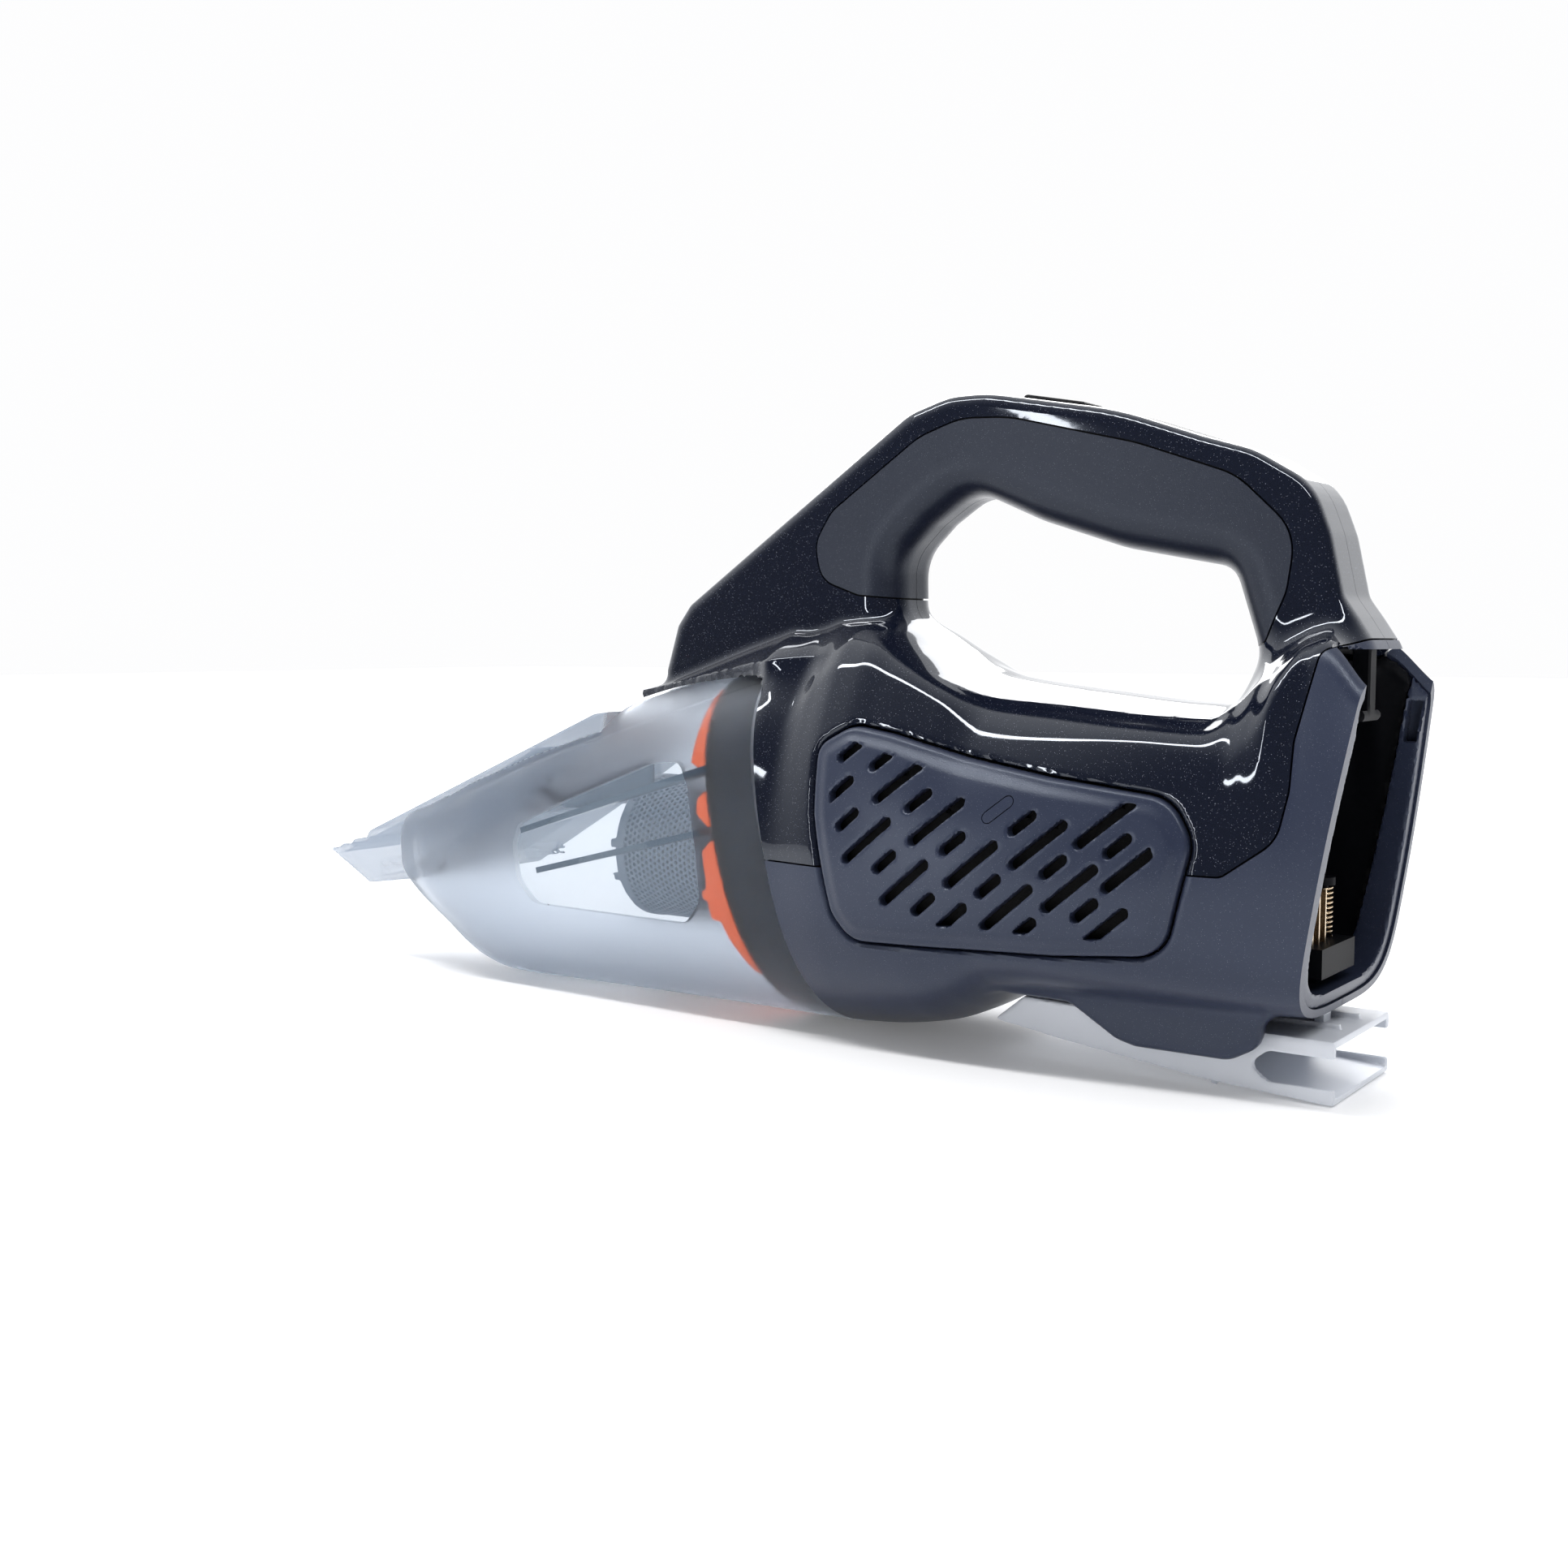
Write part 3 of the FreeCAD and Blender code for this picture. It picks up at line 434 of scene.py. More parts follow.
dark_metal = moulded("motor_can", (0.08, 0.08, 0.09), 0.35, Metallic=1.0)
brass = moulded("contact_metal", (0.75, 0.6, 0.42), 0.25, Metallic=1.0)
rubber = moulded("rubber", (0.012, 0.013, 0.016), 0.7)
flap_rubber = moulded("flap_rubber", (0.42, 0.47, 0.53), 0.6)
# Near-black material for the sheets behind the vent slots: painted shade, not a real filter.
vent_shade_black = moulded("vent_shade_sheet", (0.006, 0.006, 0.007), 0.9, grain=0.6, grain_scale=900)
fan_plastic = moulded("fan_plastic", (0.02, 0.02, 0.025), 0.45)
paper = moulded("filter_media", (0.09, 0.095, 0.11), 0.9, grain=0.5)
frosted = see_through("frosted_plastic", (0.68, 0.715, 0.76), (0.56, 0.61, 0.68), 0.42, 1, 1, 0.975, IOR=1.2)
clear = see_through("clear_plastic", (0.33, 0.41, 0.5), (0.2, 0.26, 0.33), 0.03, 0.2, 0.42, 0, IOR=1.4)
nozzle_plastic = see_through("nozzle_plastic", (0.38, 0.46, 0.57), (0.08, 0.12, 0.18), 0.15, 0.42, 0.9, 0, IOR=1.45)
rib_plastic = see_through("rib_plastic", (0.03, 0.055, 0.09), (0.02, 0.04, 0.07), 0.2, 1, 1, 0, IOR=1.3)
cheek_plastic = see_through("cheek_plastic", (0.07, 0.085, 0.12), (0.06, 0.07, 0.1), 0.3, 1, 1, 0, IOR=1.3)

FINISH = {
    "gloss_shell": gloss, "matte_shell": matte, "grip": grip, "black_plastic": black, "switch_plastic": black,
    "contact_metal": brass, "steel": steel, "motor_can": dark_metal, "rubber": rubber, "fan_plastic": fan_plastic,
    "smoked_plastic": nozzle_plastic, "orange_plastic": orange, "mesh_metal": steel, "filter_media": paper,
    "tool_plastic": tool_plastic,
}
node_slot = {part["node"]: part["material_slot"] for part in frame["record"]["subparts"]}
for node_name, node in frame["nodes"].items():
    node.data.materials.clear()
    node.data.materials.append(flap_rubber if node_name == "intake_flap" else FINISH[node_slot[node_name]])

# ---------------------------------------------------------------- body skin

WIDEST = 60.0  # the height at which the body is widest
WALL = 2.6
NEAR = 0.9  # brings the value of a stretched form near to a distance
ROOF_NEAR = 0.85
half_width = curve_through(
    (0, 53), (24, 53.6), (50, 57.4), (72, 58.6), (98, 57.8), (123, 55.6), (150, 52), (175, 48.5), (200, 45), (217, 43.5)
)
crest_height = curve_through(
    (-60, 114), (-57, 114.4), (-25, 120), (5, 124.6), (12, 123.5), (20, 118.5), (25, 118.2), (35, 124.5), (45, 129.5),
    (52, 129.6), (64, 126), (83, 118), (99, 110.5), (125, 108), (152, 106.5), (170, 105.2), (178, 106),
    (185, 111), (192, 121), (198, 131), (203, 134), (217, 121.5)
)
crest_width = curve_through(
    (-60, 16.6), (-57, 17), (-25, 24), (6, 31), (13, 34), (24, 34.5), (99, 36), (150, 37.5), (175, 38.5), (191, 38),
    (201, 31), (217, 36)
)
deck_height = curve_through(
    (-60, 116.5), (-34, 124.3), (-5, 133.8), (19, 140), (33, 143), (44, 142.5), (52, 141), (68, 131.6), (80, 124.5),
    (92.5, 120.3), (120, 118), (158, 114.2), (170, 114), (178, 121), (186, 131), (203, 136), (217, 124)
)
belly = curve_through((0, 0.2), (30, 0.2), (53, 1.6), (77, 6), (92, 13), (106, 21.5), (125, 23.5), (190, 24), (217, 26))
squareness = curve_through((0, 2.3), (60, 2.4), (110, 3.0), (160, 3.6), (217, 4.5))
front_top = curve_through((0, 128), (25, 131), (50, 133), (217, 133))


hood_edge = curve_through((-60, 115.2), (-57, 115.6), (-25, 121), (5, 126), (40, 131))
SEAM_X, SEAM_Z, SEAM_LEAN = 25, 64, 0.25
REAR_X, REAR_Z, REAR_LEAN = 217, 121, 0.153


def seam_x(z):
    """Where the bowl meets the body. The joint leans forwards at the top."""
    return SEAM_X - SEAM_LEAN * (z - SEAM_Z)


def rear_x(z):
    """The rear edge of the body, which leans forwards at the bottom."""
    return REAR_X - REAR_LEAN * (REAR_Z - z)


def roof_height(x, a, edge=crest_height):
    """Height of the body's top at a distance from the middle plane. It dips towards the crest lines."""
    crest_y = crest_width(x)
    inwards = (crest_y - a) / crest_y
    rise = np.where(inwards < 0, 2.2 * inwards, 1 - (1 - np.clip(inwards, 0, 1)) ** 2.6)
    return edge(x) + (deck_height(x) - edge(x)) * rise


def body_skin(x, y, z):
    """The outside of the body, without its handle."""
    a = np.abs(y)
    w = half_width(x)
    n = squareness(x)
    below = np.maximum(WIDEST - z, 0) / (WIDEST - belly(x))
    lower = (((a / w) ** n + below**n) ** (1 / n) - 1) * w * NEAR
    crest_y = crest_width(x)
    rise = np.maximum(z - WIDEST, 0)
    wall = w - (w - crest_y) * (rise / (crest_height(x) - WIDEST)) ** 1.9
    roof = (z - roof_height(x, a)) * ROOF_NEAR
    crested = smooth_max((a - wall) * NEAR, roof, 2.6 + 3 * ramp(x, 165, 188))
    over = rise / (front_top(x) - WIDEST)
    oval = (((a / w) ** 2.4 + over**2.4) ** (1 / 2.4) - 1) * w * NEAR
    share = ramp(x, 12, 34)
    upper = oval * (1 - share) + crested * share + 0.7 * np.maximum(4 - x, 0)
    hood_roof = (z - roof_height(x, a, hood_edge)) * ROOF_NEAR
    hood = np.maximum(hood_roof, (a - crest_y) * NEAR) + 12 * ramp(x, 10, 50)
    return np.where(z > WIDEST, smooth_min(upper, hood, 1.5 + 6 * ramp(x, 4, 26)), lower)


SPINE = Outline([
    (-50, 112), (-49.5, 123), (-44, 140, 4), (-38, 147.5, 6), (57, 210, 26), (72, 214.3, 30), (86, 214.3, 60),
    (132, 205.5, 120), (160, 195.5, 60), (176, 190.5, 30), (194, 179.5, 22), (199.5, 165, 20), (203.5, 147, 8),
    (207.5, 140.5, 6), (211.5, 133, 3), (211.5, 110), (60, 100),
])
LOOP = Outline([
    (52, 138, 10), (51.5, 162, 16), (63, 173, 10), (79, 183.5, 16), (104, 172.5, 60), (133, 163, 60), (156, 158.5, 40),
    (169, 156, 9), (177.5, 130, 20), (173, 108, 10), (120, 112), (66, 124, 10),
])
GRIP = Outline([
    (38, 149.5, 6), (22.5, 155, 10), (20, 168, 10), (27, 178.5, 12), (62, 201.5, 30), (78, 206.5, 30), (96, 205.5, 60),
    (140, 194.5, 80), (172, 183, 26), (190.5, 165.5, 20), (188, 148, 20), (181.5, 133.5, 3), (165, 128), (75, 140),
    (60, 147.5),
])
SKIRT = Outline([
    (96, 40), (97, 25, 6), (108, 22.5, 8), (128, 22, 8), (144, 12.5, 8), (150, 11, 10), (180, 11, 10), (189, 16, 8),
    (192, 40),
])
HANDLE_HALF = 17.0
SPINE_EDGE, LOOP_EDGE = 5.5, 12.5
RAIL_MIDDLE, RAIL_HALF = 30.4, 3.4


def handle_skin(x, y, z):
    """The looped handle. Its edges are tight on the spine and full where a hand goes round it."""
    side = np.abs(y) - HANDLE_HALF
    outer = round_max(SPINE(x, y, z), side, SPINE_EDGE)
    inner = round_max(-LOOP(x, y, z), side, LOOP_EDGE)
    return smooth_max(outer, inner, 4)


def skirt_skin(x, y, z):
    """The two rails under the body that hold the crevice tool."""
    return round_max(SKIRT(x, y, z), np.abs(np.abs(y) - RAIL_MIDDLE) - RAIL_HALF, 2.4)


def outside(x, y, z):
    """The whole outer form of the body and handle."""
    body = smooth_min(body_skin(x, y, z), skirt_skin(x, y, z), 5)
    return smooth_min(body, handle_skin(x, y, z), 3 + 7 * ramp(x, 36, 70))


# ---------------------------------------------------------------- bowl skin

bowl_half = curve_through(
    (-179, 0), (-178.6, 14), (-177.6, 24), (-176, 30.5), (-174, 35), (-171.5, 37.8), (-167, 38.9), (-158, 39.6),
    (-145, 41.2), (-128, 43.6), (-90, 47), (-60, 49.6), (-20, 52), (10, 53), (50, 53)
)
bowl_low = curve_through(
    (-179, 48), (-178, 42), (-175.5, 36.8), (-171, 31.5), (-161, 22.5), (-146, 12.6), (-137, 6.5), (-130, 3),
    (-121, 0.5), (-112, 0), (50, 0)
)
bowl_high = curve_through(
    (-179, 56), (-178, 60), (-175, 65), (-167, 70), (-155, 75.2), (-129, 87.6), (-111, 95), (-85, 105.2),
    (-57, 114), (-25, 122.5), (5, 128.5), (25, 131.3), (50, 133)
)
bowl_roundness = curve_through((-179, 3.4), (-150, 3.4), (-110, 2.9), (-50, 2.5), (0, 2.4), (50, 2.4))


def bowl_top(x, a):
    """Height of the bowl's upper surface at a distance from the middle plane."""
    n = bowl_roundness(x)
    middle = (bowl_high(x) + bowl_low(x)) / 2
    share = np.clip(1 - (a / np.maximum(bowl_half(x), 1)) ** n, 0.02, 1)
    return middle + (bowl_high(x) - middle) * share ** (1 / n)


def bowl_skin(x, y, z):
    """The outside of the bowl, which goes on inside the front of the body."""
    w, n = np.maximum(bowl_half(x), 0.01), bowl_roundness(x)
    low, high = bowl_low(x), bowl_high(x)
    middle, tall = (low + high) / 2, (high - low) / 2
    ratio = ((np.abs(y) / w) ** n + (np.abs(z - middle) / tall) ** n) ** (1 / n)
    return (ratio - 1) * np.minimum(w, tall) * NEAR


# ---------------------------------------------------------------- housing pieces

GAP = 0.28  # half of the line between neighbouring shells
HOOD_TIP = -59
PANEL_HALF = 9.5
UPPER = Outline([
    (-90, 61), (60, 61), (172, 67), (182, 67, 4), (197, 78, 12), (199.5, 92, 20), (199.5, 106, 10), (204, 131, 4),
    (230, 142), (230, 240), (-90, 240),
])
VENT = Outline([
    (44.5, 100, 7), (47, 78, 10), (55, 46, 12), (62, 37.5, 14), (131, 39.5, 60), (161, 42, 12), (167, 47, 14),
    (173.5, 76, 12), (166, 88.5, 16), (128, 93, 60), (98, 98, 40), (72, 104.5, 30), (57, 107, 12),
])
PANEL = Outline([(63, 205), (86, 211.3), (132, 202.4), (158.5, 192.6), (161, 200), (132, 216), (90, 224), (60, 218)])


def hollow(x, y, z):
    """The room inside the shells. The hood ahead of the joint is solid."""
    return -np.maximum(body_skin(x, y, z) + WALL, seam_x(z) - 1 - x)


def front_cut(x, y, z):
    """Keeps what is behind the joint with the bowl, and the hood above it."""
    a = np.abs(y)
    behind = seam_x(z) + 0.25 - x
    above = np.maximum(np.maximum(a - crest_width(x) - 1.2, (bowl_top(x, a) + 0.5 - z) * NEAR), HOOD_TIP - x)
    return smooth_min(behind, above, 3)


def rear_cut(x, y, z):
    return x - rear_x(z)


def left_half(x, y, z):
    return y + 0.1


def within(outline, grow=0.0):
    """The space inside an outline seen from the side."""
    return lambda x, y, z: outline(x, y, z) - grow


def without(outline, grow=0.0):
    """The space outside an outline seen from the side."""
    return lambda x, y, z: grow - outline(x, y, z)


def panel_hole(x, y, z):
    """Leaves room for the insert on the crown of the handle."""
    return -np.maximum(PANEL(x, y, z) - GAP, np.abs(y) - PANEL_HALF - GAP)


LEFT_LOW, LEFT_HIGH = (-78, -62, -2), (222, 2, 217)
VENT_EDGE = 2.1
LATCH_FRONT, LATCH_Z, LATCH_HALF_HEIGHT, SIDE_PLATE = 199.5, 106, 25.5, 3.5


def shell_skin(x, y, z):
    """The outer form with a soft edge round the vent opening."""
    return round_max(outside(x, y, z), GAP - VENT(x, y, z), VENT_EDGE)


def latch_opening(x, y, z):
    """The roof over the rear of the bay is open between the side plates."""
    mouth = np.maximum(LATCH_FRONT - x, np.abs(z - LATCH_Z) - LATCH_HALF_HEIGHT)
    return -np.maximum(mouth, np.abs(y) - crest_width(x) + SIDE_PLATE)


shell = [shell_skin, hollow, front_cut, rear_cut, left_half, latch_opening]
field_piece(
    "upper_shell_left", shell + [within(UPPER, -GAP), without(GRIP, GAP), panel_hole],
    LEFT_LOW, LEFT_HIGH, "housing", gloss, ["upper_housing_left"],
    mirrored=("upper_shell_right", ["upper_housing_right"]),
)
field_piece(
    "lower_shell_left", shell + [without(UPPER, GAP)],
    LEFT_LOW, LEFT_HIGH, "housing", matte, ["lower_housing_left"],
    mirrored=("lower_shell_right", ["lower_housing_right"]),
)
field_piece(
    "grip_shell_left", [outside, within(GRIP, -GAP), left_half], (16, -20, 105), (196, 2, 212), "housing", grip,
    ["grip_left"], mirrored=("grip_shell_right", ["grip_right"]),
)
field_piece(
    "handle_cap", [outside, lambda x, y, z: -panel_hole(x, y, z) + 2 * GAP], (56, -12, 190), (164, 12, 217), "housing",
    black, ["handle_top_panel"], step=1.0, bevel=0.3,
)

field_piece(
    "handle_core", [lambda x, y, z: handle_skin(x, y, z) + 1.8, lambda x, y, z: 128 - z],
    (20, -18, 126), (204, 18, 214), "housing", black, [], step=2.0,
)

# ---------------------------------------------------------------- battery bay

RIM = 4.2
BAY_DEPTH, LINER = 33, 1.8
POCKET_BACK, POCKET_Z = 3.6, 109.2


def behind_rear(x, z):
    """Distance forwards from the leaning rear edge of the bay."""
    return rear_x(z) - x


def rim_depth(z):
    """The rim gets deeper towards the bottom."""
    return 6.3 + 0.062 * (115.6 - z)


def bay_rim(x, y, z):
    """The thick rim round the bay's mouth, with a catch pocket near the top of each side."""
    deep = body_skin(x, y, z) + WALL + 0.2
    back = behind_rear(x, z)
    rim = np.maximum(round_max(np.maximum(deep, -(deep + RIM)), 0.7 - back, 0.5), back - rim_depth(z))
    pocket = np.maximum(np.abs(back - POCKET_BACK) - 2.0, np.maximum(np.abs(z - POCKET_Z) - 6.4, 20 - np.abs(y)))
    return np.maximum(np.maximum(rim, -pocket), latch_opening(x, y, z))


def bay_liner(x, y, z):
    """The bay's dark inner wall, closed at its deep end, with the pillar under the latch."""
    deep = body_skin(x, y, z) + WALL + 0.4
    back = behind_rear(x, z)
    wall = np.maximum(deep, -(deep + LINER))
    deep_end = np.maximum(deep, np.abs(back - BAY_DEPTH) - 1.2)
    whole = np.maximum(np.minimum(wall, deep_end), np.maximum(rim_depth(z) + 0.3 - back, back - BAY_DEPTH - 1.2))
    whole = np.maximum(whole, latch_opening(x, y, z))
    pillar = np.maximum(np.maximum(np.abs(x - 206.2) - 2.7, np.abs(y) - 3.2), np.abs(z - 122) - 11)
    bar = np.maximum(np.maximum(np.abs(z - 112) - 1.5, np.abs(x - 196) - 13), np.abs(y) - 8)
    return np.minimum(whole, np.minimum(bar, pillar))


field_piece(
    "bay_rim", [bay_rim], (190, -47, 24), (219, 47, 137), "housing", matte, [],
    step=mesh_step(0.8),
)
field_piece(
    "bay_cradle", [bay_liner], (168, -47, 24), (213, 47, 137), "housing", black, ["battery_cradle"],
    step=mesh_step(1.0),
)

# ---------------------------------------------------------------- vent panels

SLANT = math.radians(41)
SLOT_HALF = 1.7
LONG_SLOT, SHORT_SLOT, BLIND_LENGTH = 18.6, 6.9, 7.3
FIRST_SLOT, COLUMN_SHIFT, LINE_SHIFT = (127.9, 73.1), (14.7, 13.3), (5.61, -6.1)
SLOT_ZONE = Outline([
    (52, 99, 2), (56, 68), (66, 46.2), (156, 46.2), (163, 72), (157, 86.5), (98, 89.5), (84, 95), (57, 102, 2),
])
BLIND_SLOT = (113.7, 82.9)


def capsule(px, pz, cx, cz, length):
    """Distance from the middle line of a slanted slot."""
    ux, uz = math.cos(SLANT), math.sin(SLANT)
    along = (px - cx) * ux + (pz - cz) * uz
    across = (pz - cz) * ux - (px - cx) * uz
    beyond = np.maximum(np.abs(along) - length / 2, 0)
    return np.hypot(beyond, across)


class Slots(SideView):
    """Slanted round-ended slots in rows and columns, long and short by turns."""

    def __init__(self):
        self.places = []
        for column in range(-5, 6):
            for line in range(-9, 10):
                spread = 0.16 * (line + 1.2 * column) ** 2
                cx = FIRST_SLOT[0] + COLUMN_SHIFT[0] * column + LINE_SHIFT[0] * line - spread
                cz = FIRST_SLOT[1] + COLUMN_SHIFT[1] * column + LINE_SHIFT[1] * line
                if math.hypot(cx - BLIND_SLOT[0], cz - BLIND_SLOT[1]) < 6:
                    continue
                long = (column + line) % 2 == 0
                if SLOT_ZONE.flat(np.array([cx]), np.array([cz]))[0] < (2.5 if long else -1.2):
                    self.places.append((cx, cz, LONG_SLOT if long else SHORT_SLOT))

    def flat(self, px, pz):
        nearest = np.full(px.shape, 99.0)
        for cx, cz, length in self.places:
            nearest = np.minimum(nearest, capsule(px, pz, cx, cz, length))
        return round_max(nearest - SLOT_HALF, SLOT_ZONE.flat(px, pz), 0.8)


SLOTS = Slots()


def vent_face(x, y, z):
    """The panel's outside: a low cushion inside a rounded rim, with softened slot edges."""
    rim = VENT(x, y, z) + GAP
    cushion = 0.5 + 0.8 * ramp(-rim, 1.5, 6)
    return round_max(body_skin(x, y, z) - cushion, rim, 1.3)


def blind_gap(x, y, z):
    """The line round the one slot that is closed."""
    flat_x, flat_z = np.broadcast_arrays(x, z)
    return capsule(flat_x, flat_z, *BLIND_SLOT, BLIND_LENGTH) - SLOT_HALF - 0.3


VENT_LOW, VENT_HIGH = (42, -62, 35), (176, -40, 109)
field_piece(
    "vent_cover_left",
    [
        lambda x, y, z: round_max(vent_face(x, y, z), -SLOTS(x, y, z), 0.45),
        lambda x, y, z: -(body_skin(x, y, z) + 2.0),
        lambda x, y, z: -blind_gap(x, y, z),
        lambda x, y, z: y + 38,
    ],
    VENT_LOW, VENT_HIGH, "housing", matte, ["vent_panel_left"],
    mirrored=("vent_cover_right", ["vent_panel_right"]), step=mesh_step(0.75),
)
field_piece(
    "vent_plug_left",
    [vent_face, lambda x, y, z: -(body_skin(x, y, z) + 1.6), lambda x, y, z: blind_gap(x, y, z) + 0.3],
    (105, -62, 75), (122, -40, 92), "housing", matte, [], mirrored=("vent_plug_right", []), step=0.6,
)
# A near-black sheet behind each vent panel: painted shade, so the slots look dark instead of showing the bright far
# side through the body.
field_piece(
    "vent_shade_sheet_left",
    [lambda x, y, z: np.abs(body_skin(x, y, z) + 5.6) - 1.3, within(VENT, -0.5), lambda x, y, z: y + 34],
    (42, -58, 35), (176, -33, 109), "housing", vent_shade_black, [], mirrored=("vent_shade_sheet_right", []), step=2.2,
)

# ---------------------------------------------------------------- bowl and nozzle

BOWL_WALL = 2.3
WINDOW = Outline([
    (-96.5, 64.5, 3), (-99.5, 56, 5), (-97, 43, 12), (-88, 35, 8), (-12, 35, 8), (-3.5, 44, 8), (-4.5, 62, 30),
    (-9, 83, 10), (-15, 92, 6), (-29, 90.5, 8), (-71, 75),
])
NOZZLE = Outline([
    (-193.9, 32.8, 2), (-181, 34.6), (-162, 37.3), (-112, 66), (-64, 96), (-62, 107.6), (-69, 106.7), (-196.5, 54.6),
    (-198.5, 51.6), (-206.5, 50.2), (-209, 47.6), (-213.5, 47.8), (-218.3, 45.2, 1),
])
DUCT = Outline([
    (-192, 28), (-192.5, 35.2), (-176, 38.8), (-110, 72), (-98, 94), (-118, 84.5), (-196, 52), (-206, 47.5),
    (-214.5, 44.4), (-222, 38),
])
NOZZLE_SEAT = Outline([
    (-230, 20), (-181, 34.6), (-162, 37.3), (-112, 66), (-64, 96), (-62, 107.6), (-61.5, 130), (-230, 130),
])
NOZZLE_HALF, NOZZLE_WALL = 34.0, 2.2


def nozzle_outer(x, y, z):
    """The nozzle's outside."""
    return round_max(NOZZLE(x, y, z), np.abs(y) - NOZZLE_HALF, 1.6)


def nozzle_seat(x, y, z):
    """The room in the bowl taken by the nozzle, open upwards."""
    return np.maximum(NOZZLE_SEAT(x, y, z), np.abs(y) - NOZZLE_HALF) - 0.1


def nozzle_duct(x, y, z):
    """The duct through the nozzle."""
    return np.maximum(DUCT(x, y, z), np.abs(y) - NOZZLE_HALF + NOZZLE_WALL)


RIDGES = (38.4, 40.6, 43.4)


def nozzle_ridges(x, y, z):
    """Three low ridges along the foot of each side wall, and a rim round the mouth."""
    level = z - 0.14 * (x + 175)
    foot = np.minimum.reduce([np.abs(level - ridge) for ridge in RIDGES])
    ridges = np.maximum(foot - 0.5, np.abs(x + 168) - 20)
    mouth = np.abs((z - 39.2) * 0.887 + (x + 206.1) * 0.462) - 1.0
    rim = np.maximum(mouth, np.maximum(z - 46, 33 - z))
    return np.maximum(np.minimum(ridges, rim), np.maximum(np.abs(y) - NOZZLE_HALF - 0.7, NOZZLE_HALF - 1 - np.abs(y)))


def bowl_inside(x, y, z):
    return -(bowl_skin(x, y, z) + BOWL_WALL)


def bowl_rear(x, y, z):
    return x - seam_x(z) + 0.25


def bowl_outer(x, y, z):
    """The bowl's outside, with the faint step along its shoulder."""
    line = (z - 85) - (x + 102) * 0.312
    shoulder = 0.55 * ramp(line, -0.5, 0.5) * ramp(x, -104, -80)
    return bowl_skin(x, y, z) + shoulder * NEAR


field_piece(
    "bowl_shell",
    [bowl_outer, bowl_inside, bowl_rear, lambda x, y, z: -nozzle_seat(x, y, z)],
    (-186, -55, -2), (43, 55, 135), "bowl", frosted, ["dust_bowl"], paint=(WINDOW, clear),
)
field_piece(
    "nozzle_shell",
    [lambda x, y, z: np.minimum(np.maximum(nozzle_outer(x, y, z), -nozzle_duct(x, y, z)), nozzle_ridges(x, y, z))],
    (-220, -38, 30), (-60, 38, 109), "bowl", nozzle_plastic, ["nozzle"], bevel=0.3,
)


def inner_ribs():
    """Two thin ribs along each inner wall. They get deeper towards the filter."""
    points, faces = [], []
    for (x0, z0), (x1, z1) in (((-97, 62), (-4, 89.7)), ((-88, 47.5), (-4, 67.9))):
        up = np.array([z0 - z1, 0, x1 - x0]) / math.hypot(x1 - x0, z1 - z0) * 1.1
        for side in (-1, 1):
            base = len(points)
            for x, z, depth in ((x0, z0, 1.5), (x1, z1, 8.5)):
                low, high, n = bowl_low(x), bowl_high(x), bowl_roundness(x)
                lean = abs(2 * z - low - high) / (high - low)
                wall = bowl_half(x) * (1 - lean**n) ** (1 / n) - BOWL_WALL + 0.3
                for y in (wall, wall - depth):
                    for way in (-1, 1):
                        points.append(np.array([x, side * y, z]) + up * way)
            for face in ((0, 1, 3, 2), (4, 6, 7, 5), (0, 4, 5, 1), (2, 3, 7, 6), (0, 2, 6, 4), (1, 5, 7, 3)):
                turned = face if side > 0 else face[::-1]
                faces.append([base + k for k in turned])
    link("bowl_ribs", mesh_from("bowl_ribs", points, faces), "bowl", rib_plastic)


inner_ribs()
CHEEK = Outline([(-98, 76), (-93, 79), (-84, 74.5), (-40, 90), (-40, 81.3), (-76, 71), (-84, 70.5)])
field_piece(
    "duct_cheeks", [lambda x, y, z: round_max(CHEEK(x, y, z), np.abs(np.abs(y) - 32.9) - 0.8, 0.4)],
    (-101, -36, 68), (-36, 36, 93), "bowl", cheek_plastic, [], step=1.1,
)

# ---------------------------------------------------------------- filter

CUP_RADIUS, CUP_Z, CUP_FRONT, CUP_REAR = 27.0, 55.0, -64.0, 2.0
RING_SIDE = Outline([
    (-12, 106, 2), (-11.5, 91.5), (-7.4, 89.6), (20, 88.6), (20, 81.8), (-3.8, 81.8), (-6.3, 79, 1), (-6.3, 74.2, 1),
    (-1, 70), (20, 70), (20, 65.2), (0.3, 65.2), (-3.5, 61.2, 1), (-2.2, 51.5), (-2.4, 48.2), (-4.2, 47.4),
    (-4.2, 44.6), (-2.2, 44), (-1.6, 37.6), (2.6, 37.1), (4.3, 31.5), (9.5, 22), (15, 15.5), (40, 15.5), (40, 130),
    (-12, 130),
])


def leaning(x, z):
    """Distance behind the leaning plane through the middle of the bowl's rim."""
    return x + SEAM_LEAN * (z - SEAM_Z)


LUG_DEPTH = 8


def ring_field(x, y, z):
    """The orange lugs round the bowl's rim, with the plate and the band that hold the sleeve."""
    lugs = np.maximum(RING_SIDE(x, y, z), 24 - np.abs(y))
    lugs = np.maximum(lugs, -(bowl_skin(x, y, z) + LUG_DEPTH))
    radius = np.hypot(y, z - CUP_Z)
    plate = np.maximum(np.maximum(-0.9 - leaning(x, z), bowl_skin(x, y, z) + 6.5), CUP_RADIUS + 0.9 - radius)
    band = np.maximum(np.abs(radius - CUP_RADIUS - 1.7) - 0.9, 2.5 - x)
    return np.maximum(np.minimum(np.minimum(lugs, plate), band), leaning(x, z) - 1.3)


